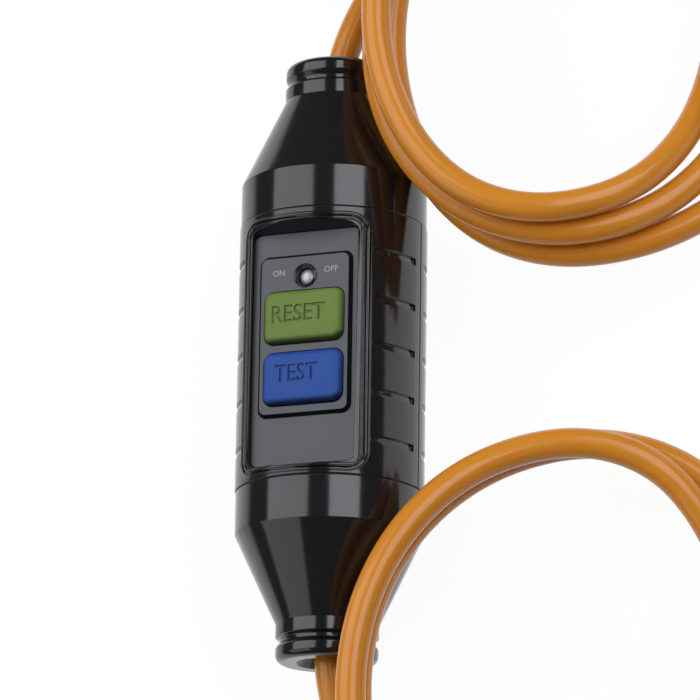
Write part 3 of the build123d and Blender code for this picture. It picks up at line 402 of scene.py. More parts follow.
class Finish(NodeMaker):
    """A material in the making: its patterns read the piece's own coordinates, in metres."""

    def __init__(self, name):
        self.material = bpy.data.materials.new(name)
        self.material.use_nodes = True
        super().__init__(self.material.node_tree)
        self.place = self.node("ShaderNodeTexCoord")["Object"]

    def noise(self, size, detail=2.0, stretch=(1, 1, 1)):
        """Soft random pattern whose blotches have about the given size."""
        place = self.node("ShaderNodeMapping", {"Vector": self.place, "Scale": stretch})
        pattern = self.node("ShaderNodeTexNoise", {
            "Vector": place["Vector"], "Scale": 1 / size, "Detail": detail,
            "Roughness": NOISE_ROUGHNESS})
        return Value(self, pattern[0])

    def stepped(self, value, stops):
        """A value run through a ramp between two (place, level) stops."""
        return Value(self, self.node("ShaderNodeValToRGB", {0: value}, stops=stops)["Color"])

    def axis(self, name):
        """One coordinate of the surface, in metres."""
        return Value(self, self.node("ShaderNodeSeparateXYZ", {0: self.place})[name])

    def facing(self, name):
        """How far the surface faces along one axis, from -1 to 1."""
        normal = self.node("ShaderNodeNewGeometry")["Normal"]
        return Value(self, self.node("ShaderNodeSeparateXYZ", {0: normal})[name])

    def tinted(self, amount, first, second):
        """A colour between two colours."""
        return self.node("ShaderNodeMix", {0: amount, 6: first, 7: second}, data_type="RGBA")[2]

    def bump(self, height, depth):
        """A normal for a height pattern that is this deep, in metres."""
        return self.node("ShaderNodeBump", {
            "Height": height, "Distance": depth, "Strength": 1.0})["Normal"]

    def close(self, marks, dark, light, roughness, reach, clouds=None, depth=None, **more):
        """Close the material with marks in its gloss and height, and clouds in its colour."""
        if depth:
            more["Normal"] = self.bump(marks, depth)
        return self.surface(
            Base_Color=self.tinted(clouds or marks, dark, light),
            Roughness=uneven(roughness, marks, reach), **more)

    def surface(self, **inputs):
        """Close the material with a shader whose inputs are named after its sockets."""
        sockets = {key.replace("_", " "): value for key, value in inputs.items()}
        shader = self.node("ShaderNodeBsdfPrincipled", sockets)
        self.node("ShaderNodeOutputMaterial", {"Surface": shader["BSDF"]})
        return self.material


def shade(base, factor):
    """A colour made lighter or darker."""
    return tuple(part * factor for part in base)


def uneven(middle, pattern, reach):
    """A number that a pattern moves by up to a reach to either side."""
    return middle - reach + pattern * (2 * reach)


def glossy_plastic(settings):
    """Moulded black plastic: deep gloss, faint ripples, a trace of dust."""
    finish = Finish("gloss_plastic")
    ripple = finish.noise(settings.peel_size, detail=1.0)
    dust = finish.stepped(finish.noise(size=0.0016, detail=3.0), DUST_STOPS)
    wear = finish.noise(size=0.012, detail=3.0)
    return finish.surface(
        Base_Color=finish.tinted(dust * DUST_COVER, settings.plastic, DUST_GREY),
        Roughness=uneven(settings.gloss_roughness, wear, reach=0.02) + dust * DUST_DULLNESS,
        Normal=finish.bump(ripple, depth=0.00002),
        Specular_IOR_Level=0.68)


def satin_panel(settings):
    """Fine eroded plastic of the face panel."""
    finish = Finish("satin_panel")
    return finish.close(
        finish.noise(size=0.00028), shade(settings.panel, 0.86), shade(settings.panel, 1.14),
        clouds=finish.noise(size=0.015), depth=0.000012,
        roughness=settings.panel_roughness, reach=0.04, Specular_IOR_Level=0.8)


def shadow_gap(settings):
    """Painted shade on the steep step round the raised part of the panel and on the walls of its
    openings.
    """
    finish = Finish("shadow_gap")
    return finish.close(
        finish.noise(size=0.0004), shade(settings.panel, 0.06), shade(settings.panel, 0.14),
        roughness=0.7, reach=0.1, Specular_IOR_Level=0.15)


def pad_rubber(name, base):
    """Soft-touch moulded button with painted shade on its lower side, towards -Y and a little
    towards +X.
    """
    finish = Finish(name)
    across, along = PAINTED_SHADE_FACING
    # Painted shade on the sides that face -Y, and a little on those that face +X.
    painted_shade = finish.stepped(
        finish.facing("X") * across + finish.facing("Y") * along, PAINTED_SHADE_STOPS)
    top = finish.tinted(finish.noise(size=0.006), shade(base, 0.93), shade(base, 1.07))
    return finish.close(
        finish.noise(size=0.0003), top, shade(base, PAINTED_SHADE_LEVEL), clouds=painted_shade,
        depth=0.000012, roughness=0.55, reach=0.05, Specular_IOR_Level=0.3)


def cord_sheath(settings):
    """Smooth extruded sheath with faint waves."""
    finish = Finish("cord_sheath")
    wave = finish.noise(size=0.011, detail=1.0)
    return finish.close(
        finish.noise(size=0.0006), shade(settings.sheath, 0.94), shade(settings.sheath, 1.06),
        clouds=finish.noise(size=0.02), Normal=finish.bump(wave, depth=0.00022),
        roughness=settings.sheath_roughness, reach=0.03, Specular_IOR_Level=0.42)


def moulded_rubber(name, base, roughness):
    """Dull dark rubber with a fine grain."""
    finish = Finish(name)
    return finish.close(
        finish.noise(size=0.0005, detail=3.0), shade(base, 0.8), shade(base, 1.25),
        clouds=finish.noise(size=0.01), depth=0.00002,
        roughness=roughness, reach=0.05, Specular_IOR_Level=0.5)


def metal(name, base, roughness, stretch):
    """Bare metal with fine marks, longer along one axis."""
    finish = Finish(name)
    return finish.close(
        finish.noise(0.0004, 3.0, stretch), shade(base, 0.85), shade(base, 1.05),
        clouds=finish.noise(size=0.004), depth=0.000006,
        roughness=roughness, reach=0.06, Metallic=1.0)


def nylon():
    """Cream moulded insulator."""
    finish = Finish("cream_nylon")
    return finish.close(
        finish.noise(size=0.0005), (0.66, 0.64, 0.58), (0.78, 0.76, 0.71),
        clouds=finish.noise(size=0.008), depth=0.000012, roughness=0.46, reach=0.06)


def board_laminate():
    """Green circuit board with a faint glass weave."""
    finish = Finish("board_laminate")
    warp = finish.noise(size=0.0009, detail=1.0, stretch=(1, 0.2, 1))
    weft = finish.noise(size=0.0009, detail=1.0, stretch=(0.2, 1, 1))
    return finish.close(
        warp * weft, (0.02, 0.12, 0.045), (0.06, 0.26, 0.10),
        depth=0.00001, roughness=0.4, reach=0.1)


def wound_copper():
    """Enamelled copper windings: fine stripes round the coil."""
    finish = Finish("wound_copper")
    stripes = finish.node("ShaderNodeTexWave", {
        "Vector": finish.place, "Scale": 260.0, "Distortion": 0.6, "Detail": 1.0},
        bands_direction="Z")
    return finish.close(
        Value(finish, stripes["Fac"]), (0.20, 0.07, 0.025), (0.55, 0.24, 0.10),
        depth=0.00004, roughness=0.325, reach=0.075, Metallic=0.6)


def core_insulation():
    """Three cores told apart by their side: brown, green and yellow, blue."""
    finish = Finish("core_insulation")
    side = finish.axis("X")
    stripe = finish.noise(size=0.003, detail=0.0, stretch=(1, 0.05, 1)) > 0.5
    middle = finish.tinted(stripe, (0.02, 0.25, 0.04), (0.70, 0.55, 0.02))
    right = finish.tinted(side > CORE_BORDER_X, middle, (0.02, 0.08, 0.40))
    return finish.close(
        finish.noise(size=0.001), right, (0.14, 0.055, 0.02),
        clouds=side < -CORE_BORDER_X, roughness=0.4, reach=0.05)


def flag_paint():
    """The slide behind the window: its left part is red, its right part black."""
    finish = Finish("flag_paint")
    return finish.close(
        finish.noise(size=0.0006), (0.012, 0.012, 0.012), (0.55, 0.03, 0.02),
        clouds=finish.axis("X") < FLAG_BORDER_X, depth=0.000008,
        roughness=0.475, reach=0.075)


def clear_dome():
    """Clear moulded dome whose mottled silver grey colour is a painted reflection."""
    finish = Finish("clear_dome")
    return finish.close(
        # Silver grey base colour: a painted reflection.
        finish.noise(size=0.0014, detail=1.0), (0.40, 0.40, 0.42), (0.70, 0.71, 0.73),
        depth=0.00005, roughness=0.355, reach=0.075,
        Metallic=0.3, Transmission_Weight=0.2, IOR=1.49, Coat_Weight=0.6)


def printed_ink(settings):
    """Thin pale print."""
    finish = Finish("printed_ink")
    return finish.close(
        finish.noise(size=0.0004), shade(settings.ink, 0.8), shade(settings.ink, 1.1),
        roughness=0.575, reach=0.075)


@cache
def finishes():
    """The material of each slot in the record, made at the first call."""
    lead = bpy.context.scene.rcd_lead
    rubber = lead.pieces.rubber
    return {
        "housing_black": glossy_plastic(lead.housing),
        "panel_grey": satin_panel(lead.face),
        "button_green": pad_rubber("green_pad", lead.buttons.reset_colour),
        "button_blue": pad_rubber("blue_pad", lead.buttons.test_colour),
        "cord_orange": cord_sheath(lead.cords),
        "rubber_black": moulded_rubber("seal_rubber", shade(rubber, 1.4), roughness=0.6),
        "lens_clear": clear_dome(),
        "flag_paint": flag_paint(),
        "inner_plastic": nylon(),
        "board_green": board_laminate(),
        "copper_brown": wound_copper(),
        "brass": metal("bright_brass", (0.78, 0.56, 0.24), 0.24, stretch=(1, 0.1, 1)),
        "steel": metal("plated_steel", (0.58, 0.58, 0.60), 0.3, stretch=(0.1, 1, 1)),
        "wire_insulation": core_insulation(),
        "plug_black": moulded_rubber("grip_rubber", rubber, lead.pieces.rubber_roughness),
    }


def linked(name, data):
    """A new object in the scene."""
    item = bpy.data.objects.new(name, data)
    bpy.context.scene.collection.objects.link(item)
    return item


def add_piece(name, mesh, body, slot, *replaced):
    """Put a finished mesh in the scene as a piece that rides on a body."""
    piece = linked(name, mesh)
    if not mesh.materials:
        mesh.materials.append(finishes()[slot])
    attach(piece, body)
    if replaced:
        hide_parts(*replaced)
    return piece


def evaluated_mesh(source):
    """The mesh of an object with its modifiers applied. The object is removed."""
    depsgraph = bpy.context.evaluated_depsgraph_get()
    mesh = bpy.data.meshes.new_from_object(source.evaluated_get(depsgraph), depsgraph=depsgraph)
    mesh.name = source.name
    bpy.data.objects.remove(source)
    return mesh


def modified(name, mesh, kind, **settings):
    """A mesh with one modifier applied."""
    source = linked(name, mesh)
    modifier = source.modifiers.new(kind, kind)
    for key, value in settings.items():
        setattr(modifier, key, value)
    return evaluated_mesh(source)


def opened(mesh):
    """A mesh opened for work."""
    work = bmesh.new()
    work.from_mesh(mesh)
    return work


def closed(work, mesh):
    """The work put back into a mesh."""
    work.to_mesh(mesh)
    work.free()
    return mesh


def merged_copy(name, node, flat_angle):
    """A copy of a solid's mesh with its corners merged and its flat faces joined."""
    work = opened(nodes[node].data)
    bmesh.ops.remove_doubles(work, verts=work.verts, dist=MERGE_DISTANCE)
    bmesh.ops.dissolve_limit(work, angle_limit=flat_angle, verts=work.verts, edges=work.edges)
    for face in work.faces:
        face.smooth = True
    mesh = closed(work, bpy.data.meshes.new(name))
    for attribute in [each for each in mesh.attributes if each.name == "custom_normal"]:
        mesh.attributes.remove(attribute)
    return mesh


def softened_copy(name, node, width):
    """A copy of a solid with its sharp edges rounded off."""
    rounded = modified(
        name, merged_copy(name, node, FLAT_ANGLE), "BEVEL", width=width, segments=2,
        limit_method="ANGLE", angle_limit=SHARP_ANGLE, use_clamp_overlap=False,
        miter_outer="MITER_ARC")
    draw_back(rounded, node, STRAY_SHARE * width)
    return modified(name, rounded, "WEIGHTED_NORMAL", keep_sharp=True, weight=NORMAL_WEIGHT)


def draw_back(mesh, node, reach):
    """Puts corners that the rounding threw off a solid back on their neighbours."""
    work = opened(nodes[node].data)
    surface = BVHTree.FromBMesh(work)
    work.free()
    work = opened(mesh)
    stray = {corner for corner in work.verts if surface.find_nearest(corner.co)[3] > reach}
    while stray:
        settled = {}
        for corner in stray:
            held = [edge.other_vert(corner) for edge in corner.link_edges]
            held = [other for other in held if other not in stray]
            if held:
                nearest = min(held, key=lambda other: (other.co - corner.co).length)
                settled[corner] = nearest.co.copy()
        if not settled:
            break
        for corner, spot in settled.items():
            corner.co = spot
        stray -= set(settled)
    bmesh.ops.dissolve_degenerate(work, edges=work.edges, dist=MERGE_DISTANCE)
    closed(work, mesh)


def set_smooth(mesh, angle):
    """Smooth shading that keeps edges sharper than an angle."""
    for polygon in mesh.polygons:
        polygon.use_smooth = True
    mesh.set_sharp_from_angle(angle=angle)


def rounded_outline(half_x, half_y, corner, steps=8):
    """Points round a rectangle with rounded corners, anticlockwise."""
    points = []
    for turn, (side_x, side_y) in enumerate(((1, 1), (-1, 1), (-1, -1), (1, -1))):
        for step in range(steps + 1):
            angle = (turn + step / steps) * math.pi / 2
            points.append((
                side_x * (half_x - corner) + corner * math.cos(angle),
                side_y * (half_y - corner) + corner * math.sin(angle)))
    return points


def round_ring(radius, height, centre, steps):
    """Points round an upright axis."""
    x, y = centre
    turns = [2 * math.pi * step / steps for step in range(steps)]
    return [(x + radius * math.cos(turn), y + radius * math.sin(turn), height) for turn in turns]


def skin_rings(work, rings, looped=False):
    """Faces between stacked rings of points, filled at both ends or looped back to the first."""
    stack = [[work.verts.new(point) for point in ring] for ring in rings]
    following = stack[1:] + stack[:1] if looped else stack[1:]
    for lower, upper in zip(stack, following):
        for here in range(len(lower)):
            there = (here + 1) % len(lower)
            work.faces.new((lower[here], lower[there], upper[there], upper[here]))
    if not looped:
        work.faces.new(reversed(stack[0]))
        work.faces.new(stack[-1])


def tidy_skin(work, reach):
    """Join corners that lie together and turn all faces outwards."""
    bmesh.ops.remove_doubles(work, verts=work.verts, dist=reach)
    bmesh.ops.recalc_face_normals(work, faces=work.faces)


def lathe(name, section):
    """A turned piece about the window's axis, from (radius, height) points."""
    work = bmesh.new()
    skin_rings(work, [round_ring(*corner, WINDOW_PLACE, TURNED_STEPS) for corner in section],
               looped=True)
    tidy_skin(work, MERGE_DISTANCE)
    mesh = closed(work, bpy.data.meshes.new(name))
    set_smooth(mesh, TURNED_EDGE_ANGLE)
    return mesh


def text_mesh(words, height, depth, width=None):
    """A word as a solid on the XY plane, its lower left corner at the origin."""
    text = bpy.data.curves.new(words, "FONT")
    text.body = words
    text.extrude = LETTER_DEPTH
    text.offset = LETTER_SWELL
    text.resolution_u = 4
    mesh = evaluated_mesh(linked(words, text))
    work = opened(mesh)
    tidy_skin(work, LETTER_SEAM)
    closed(work, mesh)
    corners = [vertex.co for vertex in mesh.vertices]
    low, high = (Vector([pick(corner[axis] for corner in corners) for axis in range(3)])
                 for pick in (min, max))
    size = high - low
    scale_y = height / size.y
    scale_x = scale_y if width is None else width / size.x
    scale = Matrix.Diagonal((scale_x, scale_y, depth / size.z, 1))
    mesh.transform(scale @ Matrix.Translation(-low))
    return mesh


def pad_heights(pad, top):
    """(inset, height) steps up the button's side, round its edge and over its crown."""
    steps = [(0.0, top - BUTTON_HEIGHT), (0.0, top - pad.rounding)]
    for step in range(1, ROUNDING_STEPS + 1):
        angle = step / ROUNDING_STEPS * math.pi / 2
        steps.append((
            pad.rounding * (1 - math.cos(angle)), top - pad.rounding * (1 - math.sin(angle))))
    reach = pad.half_width - pad.rounding
    for step in range(1, CROWN_STEPS + 1):
        inset = step / CROWN_STEPS
        rise = pad.crown * (1 - (1 - inset) ** 2)
        steps.append((pad.rounding + inset * reach * CROWN_REACH, top + rise))
    return steps


def button_mesh(body, button):
    """A crowned pad over its flange and stem, with its word sunk into the top."""
    pad = bpy.context.scene.rcd_lead.buttons
    name = f"{body}_pad"
    y = button["y"]
    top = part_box(f"{body}_button")[1].z - pad.crown
    rings = []
    for inset, height in pad_heights(pad, top):
        corner = max(pad.corner - inset, LEAST_CORNER)
        outline = rounded_outline(pad.half_length - inset, pad.half_width - inset, corner)
        rings.append([(x, y + along, height) for x, along in outline])
    work = bmesh.new()
    skin_rings(work, rings)
    mesh = closed(work, bpy.data.meshes.new(name))
    mesh.materials.append(finishes()[button["slot"]])
    cutter = linked(button["word"], sunk_word(body, button, pad, top - pad.word_depth))
    carved = modified(name, mesh, "BOOLEAN", operation="DIFFERENCE", solver="EXACT",
                      material_mode="TRANSFER", object=cutter)
    bpy.data.objects.remove(cutter)
    add_foot(carved, y, top - BUTTON_HEIGHT)
    set_smooth(carved, PAD_EDGE_ANGLE)
    return carved


def sunk_word(body, button, pad, floor):
    """The letters that are cut from a button, in its colour made darker as painted shade in the
    sunk strokes.
    """
    depth = 2 * pad.word_depth + pad.crown
    letters = text_mesh(button["word"], pad.word_height, depth, button["word_width"])
    left, foot = button["word_place"]
    letters.transform(Matrix.Translation((left - pad.half_length, button["y"] + foot, floor)))
    # The button's colour made darker: painted shade in the sunk strokes.
    darker = shade(getattr(pad, f"{body}_colour"), button["word_shade"])
    letters.materials.append(pad_rubber(f"{button['colour']}_word", darker))
    return letters


def add_foot(mesh, y, top):
    """The flange that keeps the button in, and its stem."""
    work = opened(mesh)
    half_x, half_y = FLANGE_HALF
    under = top - FLANGE_THICKNESS
    outline = rounded_outline(half_x, half_y, FLANGE_CORNER, steps=3)
    skin_rings(work, [
        [(x * (1 - inset / half_x), y + along * (1 - inset / half_y), height)
         for x, along in outline] for inset, height in (
            (FLANGE_EDGE, under), (0, under + FLANGE_EDGE), (0, top - FLANGE_EDGE),
            (FLANGE_EDGE, top))])
    skin_rings(work, [
        round_ring(STEM_RADIUS - inset, height, (0, y), STEM_STEPS) for inset, height in (
            (STEM_EDGE, STEM_BOTTOM), (0, STEM_BOTTOM + STEM_EDGE), (0, under))])
    closed(work, mesh)


class Layout(NodeMaker):
    """A geometry node tree in the making. It makes as many copies of a form as its Count says."""

    def __init__(self, name, *lengths):
        super().__init__(bpy.data.node_groups.new(name, "GeometryNodeTree"))
        sockets = [("Count", "NodeSocketInt"), ("Material", "NodeSocketMaterial")]
        sockets += [(length, "NodeSocketFloat") for length in lengths]
        for socket, kind in sockets:
            self.tree.interface.new_socket(name=socket, in_out="INPUT", socket_type=kind)
        self.tree.interface.new_socket(
            name="Geometry", in_out="OUTPUT", socket_type="NodeSocketGeometry")
        self.inputs = self.node("NodeGroupInput")
        self.index = Value(self, self.node("GeometryNodeInputIndex")["Index"])

    def __getitem__(self, name):
        """One of the tree's inputs."""
        return Value(self, self.inputs[name])

    def vector(self, x, y, z):
        return self.node("ShaderNodeCombineXYZ", {"X": x, "Y": y, "Z": z})["Vector"]

    def close(self, place, form, scale):
        """Put the form at each place, make it real, give it its material and end the tree."""
        points = self.node("GeometryNodePoints", {"Count": self["Count"], "Position": place})
        copies = self.node("GeometryNodeInstanceOnPoints", {
            "Points": points["Points"], "Instance": form, "Scale": scale})[0]
        copies = self.node("GeometryNodeRealizeInstances", {"Geometry": copies})[0]
        copies = self.node("GeometryNodeSetShadeSmooth", {"Geometry": copies})[0]
        copies = self.node("GeometryNodeSetMaterial", {
            "Geometry": copies, "Material": self["Material"]})[0]
        self.node("NodeGroupOutput", {"Geometry": copies})
        return self.tree


@cache
def ring_layout():
    """Rings along a tapering sleeve that runs from the origin along Z."""
    made = Layout("sleeve_rings", "First", "Pitch", "Radius", "Taper", "Bead")
    place = made.vector(0, 0, made.index * made["Pitch"] + made["First"])
    radius = made["Radius"] - made.index * made["Taper"]
    hoop = made.node("GeometryNodeCurvePrimitiveCircle", {"Resolution": 40, "Radius": 1.0})
    section = made.node("GeometryNodeCurvePrimitiveCircle", {
        "Resolution": 10, "Radius": made["Bead"] / made["Radius"]})
    ring = made.node("GeometryNodeCurveToMesh", {
        "Curve": hoop["Curve"], "Profile Curve": section["Curve"]})
    return made.close(place, ring["Mesh"], radius)


@cache
def ridge_layout():
    """Long low ridges round a barrel whose axis is Z."""
    made = Layout("barrel_ridges", "Radius", "Middle", "Half Length", "Half Width")
    angle = (made.index + 0.5) * (2 * math.pi / made["Count"])
    place = made.vector(
        angle.worked("COSINE", angle) * made["Radius"],
        angle.worked("SINE", angle) * made["Radius"], made["Middle"])
    bead = made.node("GeometryNodeMeshUVSphere", {"Segments": 12, "Rings": 10, "Radius": 1.0})
    size = made.vector(made["Half Width"], made["Half Width"], made["Half Length"])
    return made.close(place, bead["Mesh"], size)


def add_trim(name, tree, count, sizes, origin, heading):
    """Rings or ridges, laid out along Z and then placed on a piece's axis."""
    values = {"Count": count, "Material": finishes()["plug_black"], **sizes}
    source = linked(name, bpy.data.meshes.new(name))
    modifier = source.modifiers.new("layout", "NODES")
    modifier.node_group = tree
    for socket in tree.interface.items_tree:
        if socket.in_out == "INPUT":
            modifier[socket.identifier] = values[socket.name]
    mesh = evaluated_mesh(source)
    turn = heading.to_track_quat("Z", "Y").to_matrix().to_4x4()
    mesh.transform(Matrix.Translation(origin) @ turn)
    add_piece(name, mesh, "root", "plug_black")


def dress_barrel(part, node, entry, heading, length, ridges):
    """The shell, the relief rings and the grip ridges of the plug or the coupler."""
    settings = bpy.context.scene.rcd_lead.pieces
    face = entry + heading * (SLEEVE_LENGTH + length)
    shell = softened_copy(f"{part}_shell", node, settings.edge_softness)
    add_piece(f"{part}_shell", shell, "root", "plug_black", node)
    add_trim(f"{part}_relief_rings", ring_layout(), settings.ring_count, RINGS, entry, heading)
    add_trim(f"{part}_ridges", ridge_layout(), settings.ridge_count, ridges, face, -heading)


def coil_stations(coil):
    """Places and headings of the cord at its coil's start, right, near, left and far sides."""
    way = coil["way"]
    entering = Vector((1, way * ENTRY_RISE, 0)).normalized()
    first = Vector((*coil["start"], CORD_FLOOR))
    stations = [(first, entering), (first + entering * COIL_END_STRAIGHT, entering)]
    turns = len(coil["right"])
    for turn in range(turns):
        passing = Vector((1, 0, -COIL_SLOPE))
        if turn == turns - 1:
            passing = Vector((1, -way * LAST_INWARD, -LAST_SLOPE))
        stations += [
            (Vector((*coil["right"][turn], CORD_FLOOR)), Vector((0, -way, 0))),
            (Vector(coil["near"][turn]), Vector((-1, 0, COIL_SLOPE)).normalized()),
            (Vector(coil["left"][turn]), Vector((0, way, 0))),
            (Vector(coil["far"][turn]), passing.normalized()),
        ]
    return stations


def coil_points(stations):
    """Control points of the cord round its coil, from its straight start to its straight end."""
    passed = [stations[0][0]]
    for (start, leave), (finish, arrive) in zip(stations[1:], stations[2:]):
        pull = (finish - start).length * QUARTER_PULL
        passed += interpolate_bezier(
            start, start + leave * pull, finish - arrive * pull, finish, QUARTER_STEPS + 1)[:-1]
    finish, leaving = stations[-1]
    passed += [finish, finish + leaving * COIL_END_STRAIGHT]
    widened = [point - (before - 2 * point + after) * CUT_CORNER
               for before, point, after in zip(passed, passed[1:], passed[2:])]
    return [passed[0], *widened, passed[-1]]


def whole_route(lead, coil, tail):
    """Control points of a cord from the housing to the piece on its far end."""
    stations = coil_stations(coil)
    start, entering = stations[0]
    finish, leaving = stations[-1]
    return [
        *[Vector(place) for place in lead],
        start - entering * LEAD_RUN,
        *coil_points(stations),
        finish + leaving * (COIL_END_STRAIGHT + TAIL_RUN),
        *[Vector(place) for place in tail],
    ]


def cord_curve(name, lead, coil, tail):
    """A round cord along one open spline."""
    points = whole_route(lead, coil, tail)
    curve = bpy.data.curves.new(name, "CURVE")
    curve.dimensions = "3D"
    spline = curve.splines.new("NURBS")
    spline.points.add(len(points) - 1)
    for control, place in zip(spline.points, points):
        control.co = (*place, 1)
    spline.order_u = 3
    spline.use_endpoint_u = True
    spline.use_smooth = True
    curve.resolution_u = 10
    curve.bevel_depth = bpy.context.scene.rcd_lead.cords.diameter / 2
    curve.bevel_resolution = 8
    curve.use_fill_caps = True
    curve.materials.append(finishes()["cord_orange"])
    return linked(name, curve)


def looked_at(maker, rays):
    """1 for the camera's own rays and those through glass, 0 for all others."""
    return Value(maker, rays["Is Camera Ray"]) + rays["Is Transmission Ray"]


def floor_material(settings):
    """A white floor that keeps the shadow of the object."""
    finish = Finish("studio_floor")
    rays = finish.node("ShaderNodeLightPath")
    near = finish.node("ShaderNodeMapRange", {
        "Value": finish.axis("X"), "From Min": -FADE_END, "From Max": -FADE_START},
        interpolation_type="SMOOTHSTEP")
    mirrored = Value(finish, rays["Is Glossy Ray"]) * near["Result"]
    matt = finish.node("ShaderNodeBsdfDiffuse", {"Color": finish.tinted(
        finish.noise(size=0.05), shade(settings.floor, 0.99), settings.floor)})
    glow = finish.node("ShaderNodeEmission", {"Color": WHITE, "Strength": FLOOR_STRENGTH})
    mix = finish.node("ShaderNodeMixShader", {
        0: (looked_at(finish, rays) + mirrored) * FLOOR_GLOW, 1: matt[0], 2: glow[0]})
    finish.node("ShaderNodeOutputMaterial", {"Surface": mix[0]})
    return finish.material


def add_floor(settings):
    """The floor, which is stage and not a piece."""
    work = bmesh.new()
    bmesh.ops.create_grid(work, x_segments=4, y_segments=4, size=FLOOR_SIZE)
    mesh = closed(work, bpy.data.meshes.new("studio_floor"))
    mesh.materials.append(floor_material(settings))
    linked("studio_floor", mesh)


def aimed(name, data, place, right, back):
    """A lamp or a camera that looks away from its back."""
    item = linked(name, data)
    turned = Matrix((right, back.cross(right), back)).transposed().to_4x4()
    item.matrix_world = Matrix.Translation(place) @ turned
    return item


def add_lamp(name, tilt, width, length, along, energy):
    """A soft rectangular lamp over the object, tilted about the housing's axis."""
    data = bpy.data.lights.new(name, "AREA")
    data.shape = "RECTANGLE"
    data.size = width
    data.size_y = length
    data.energy = energy
    data.color = LAMP_COLOUR
    turn = math.radians(tilt)
    back = Vector((math.sin(turn), 0, math.cos(turn)))
    place = Vector((0, along, HOUSING_AXIS_Z)) + back * LAMP_DISTANCE
    lamp = aimed(name, data, place, Vector((0, 1, 0)).cross(back), back)
    lamp.visible_camera = False


def add_world():
    """A world that is white to look at and dim in reflections."""
    world = bpy.data.worlds.new("studio_world")
    world.use_nodes = True
    made = NodeMaker(world.node_tree)
    seen = looked_at(made, made.node("ShaderNodeLightPath"))
    dim = made.node("ShaderNodeBackground", {"Color": WORLD_COLOUR, "Strength": WORLD_GLOSS})
    white = made.node("ShaderNodeBackground", {"Color": WHITE, "Strength": 1})
    mix = made.node("ShaderNodeMixShader", {0: seen, 1: dim[0], 2: white[0]})
    made.node("ShaderNodeOutputWorld", {"Surface": mix[0]})
    bpy.context.scene.world = world


def add_camera():
    """The camera of the photograph."""
    data = bpy.data.cameras.new("photograph_camera")
    data.lens = CAMERA_LENS_MM
    back = (Vector(CAMERA_PLACE) - Vector(CAMERA_TARGET)).normalized()
    right = Vector(CAMERA_UP).cross(back).normalized()
    bpy.context.scene.camera = aimed("photograph_camera", data, CAMERA_PLACE, right, back)


class LEAD_OT_stage(Operator):
    """Set up the floor, the lamps, the world and the camera of the photograph"""

    bl_idname = "rcd_lead.stage"
    bl_label = "Stage"

    def execute(self, context):
        settings = context.scene.rcd_lead.stage
        add_floor(settings)
        for side, sizes in LAMPS.items():
            add_lamp(f"{side}_lamp", *sizes, getattr(settings, f"{side}_power"))
        add_world()
        add_camera()
        context.scene.view_settings.view_transform = "Standard"
        return {"FINISHED"}


class LEAD_OT_mechanism(Operator):
    """Give every solid of the record its finish, outside and inside"""

    bl_idname = "rcd_lead.mechanism"
    bl_label = "Mechanism and seals"

    def execute(self, context):
        made = finishes()
        for row in frame["record"]["subparts"]:
            slots = nodes[row["node"]].material_slots
            if not slots:
                raise RuntimeError(f"{row['node']} has no material slot")
            for slot in slots:
                slot.material = made[row["material_slot"]]
        return {"FINISHED"}


class LEAD_OT_springs(Operator):
    """Copy the springs, each with a mesh of its own"""

    bl_idname = "rcd_lead.springs"
    bl_label = "Springs"

    def execute(self, context):
        for joint in frame["record"]["behaviour"]["joints"]:
            for spring in joint.get("deforming_nodes", []):
                node = spring["node"]
                mesh = merged_copy(f"{node}_wire", node, flat_angle=0)
                set_smooth(mesh, TURNED_EDGE_ANGLE)
                wire = add_piece(f"{node}_wire", mesh, "root", "steel", node)
                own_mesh(wire)
        return {"FINISHED"}


class LEAD_OT_housing(Operator):
    """Round off the moulded edges of the shells and the end caps"""

    bl_idname = "rcd_lead.housing"
    bl_label = "Housing"

    def execute(self, context):
        width = context.scene.rcd_lead.housing.edge_softness
        for name, node in (("upper_shell", "front_shell"), ("lower_shell", "back_shell"),
                           ("supply_cone", "supply_end_cap"), ("outlet_cone", "outlet_end_cap")):
            add_piece(name, softened_copy(name, node, width), "root", "housing_black", node)
        return {"FINISHED"}


class LEAD_OT_face(Operator):
    """Make the satin panel and print the words beside its window"""

    bl_idname = "rcd_lead.face"
    bl_label = "Face"

    def execute(self, context):
        settings = context.scene.rcd_lead.face
        mesh = softened_copy("panel", "face_plate", settings.edge_softness)
        mesh.materials.append(finishes()["panel_grey"])
        mesh.materials.append(shadow_gap(settings))
        # The steep faces at the step's height, round the raised part, get the painted shade.
        for polygon in mesh.polygons:
            if STEP_FOOT_Z < polygon.center.z < STEP_HEAD_Z and polygon.normal.z < STEEP:
                polygon.material_index = 1
        add_piece("panel", mesh, "root", "panel_grey", "face_plate")
        ink = printed_ink(settings)
        for words, x in PRINTED_WORDS.items():
            mesh = text_mesh(words, settings.word_height, PRINT_THICKNESS)
            height = PLATEAU_Z - PRINT_THICKNESS / 4
            mesh.transform(Matrix.Translation((x, PRINTED_Y, height)))
            mesh.materials.append(ink)
            add_piece(f"print_{words.lower()}", mesh, "root", "panel_grey")
        return {"FINISHED"}


class LEAD_OT_buttons(Operator):
    """Shape both push buttons with their sunk words"""

    bl_idname = "rcd_lead.buttons"
    bl_label = "Buttons"

    def execute(self, context):
        for body, button in BUTTONS.items():
            mesh = button_mesh(body, button)
            add_piece(f"{body}_pad", mesh, body, button["slot"], f"{body}_button")
        return {"FINISHED"}


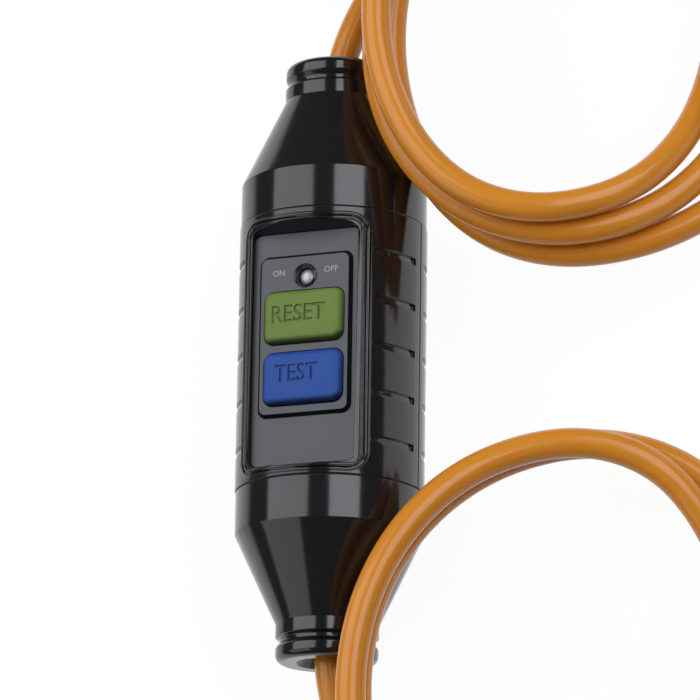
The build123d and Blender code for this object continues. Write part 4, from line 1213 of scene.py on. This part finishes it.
class LEAD_OT_window(Operator):
    """Turn the window's ring and its clear dome"""

    bl_idname = "rcd_lead.window"
    bl_label = "Window"

    def execute(self, context):
        settings = context.scene.rcd_lead.window
        dome = settings.dome_radius
        seat = SEAT_Z + SEAT_GAP
        foot = PLATEAU_Z - FOOT_DEPTH
        radii = {"ring": settings.ring_radius, "dome": dome, "bore": BORE_RADIUS}
        heights = {"plateau": PLATEAU_Z, "rim": PLATEAU_Z + RIM_RISE, "foot": foot, "seat": seat}
        section = [(radii[wide] + more, heights[high] + rise)
                   for wide, more, high, rise in BEZEL_SECTION]
        add_piece("window_bezel", lathe("window_bezel", section), "root", "housing_black",
                  "window_ring")
        section = [(0, seat), (dome, seat)]
        for step in range(DOME_STEPS + 1):
            angle = step / DOME_STEPS * math.pi / 2
            section.append((dome * math.cos(angle), foot + settings.dome_rise * math.sin(angle)))
        add_piece("state_dome", lathe("state_dome", section), "root", "lens_clear", "window_lens")
        return {"FINISHED"}


class LEAD_OT_barrels(Operator):
    """Dress the plug and the coupler with their grip ridges and strain reliefs"""

    bl_idname = "rcd_lead.barrels"
    bl_label = "Plug and coupler"

    def execute(self, context):
        dress_barrel("plug", "plug_body", PLUG_ENTRY, PLUG_HEADING, PLUG_LENGTH, PLUG_RIDGES)
        dress_barrel("coupler", "socket_body", COUPLER_ENTRY, COUPLER_HEADING, COUPLER_LENGTH,
                     COUPLER_RIDGES)
        return {"FINISHED"}


class LEAD_OT_cords(Operator):
    """Lay both cords along their photographed coils"""

    bl_idname = "rcd_lead.cords"
    bl_label = "Cords"

    def execute(self, context):
        supply = cord_curve("supply_cord", SUPPLY_LEAD, SUPPLY_COIL, SUPPLY_TAIL)
        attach(supply, "root")
        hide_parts("supply_cord_lead", "supply_cord_coil", "supply_cord_tail")
        outlet = cord_curve("outlet_cord", OUTLET_LEAD, OUTLET_COIL, OUTLET_TAIL)
        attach(outlet, "root")
        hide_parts("outlet_cord_lead", "outlet_cord_coil", "outlet_cord_tail")
        return {"FINISHED"}


class LEAD_PT_panel(Panel):
    """Lists the pieces of the lead"""

    bl_idname = "LEAD_PT_panel"
    bl_label = "RCD lead"
    bl_space_type = "VIEW_3D"
    bl_region_type = "UI"
    bl_category = "RCD lead"

    def draw(self, context):
        for operator in OPERATORS:
            self.layout.operator(operator.bl_idname)
        lead = context.scene.rcd_lead
        for group in LeadSettings.__annotations__:
            box = self.layout.box()
            settings = getattr(lead, group)
            box.label(text=lead.bl_rna.properties[group].name)
            for key in settings.__annotations__:
                box.prop(settings, key)


OPERATORS = (LEAD_OT_stage, LEAD_OT_mechanism, LEAD_OT_springs, LEAD_OT_housing, LEAD_OT_face,
             LEAD_OT_buttons, LEAD_OT_window, LEAD_OT_barrels, LEAD_OT_cords)
GROUPS = (HousingSettings, FaceSettings, ButtonSettings, WindowSettings, CordSettings,
          PieceSettings, StageSettings, LeadSettings)


def register():
    for cls in GROUPS + OPERATORS + (LEAD_PT_panel,):
        bpy.utils.register_class(cls)
    bpy.types.Scene.rcd_lead = grouped("RCD lead", "Sizes and colours of the lead", LeadSettings)


def unregister():
    del bpy.types.Scene.rcd_lead
    for cls in reversed(GROUPS + OPERATORS + (LEAD_PT_panel,)):
        bpy.utils.unregister_class(cls)


def main():
    register()
    for operator in OPERATORS:
        group, name = operator.bl_idname.split(".")
        getattr(getattr(bpy.ops, group), name)()


if __name__ == "__main__":
    main()
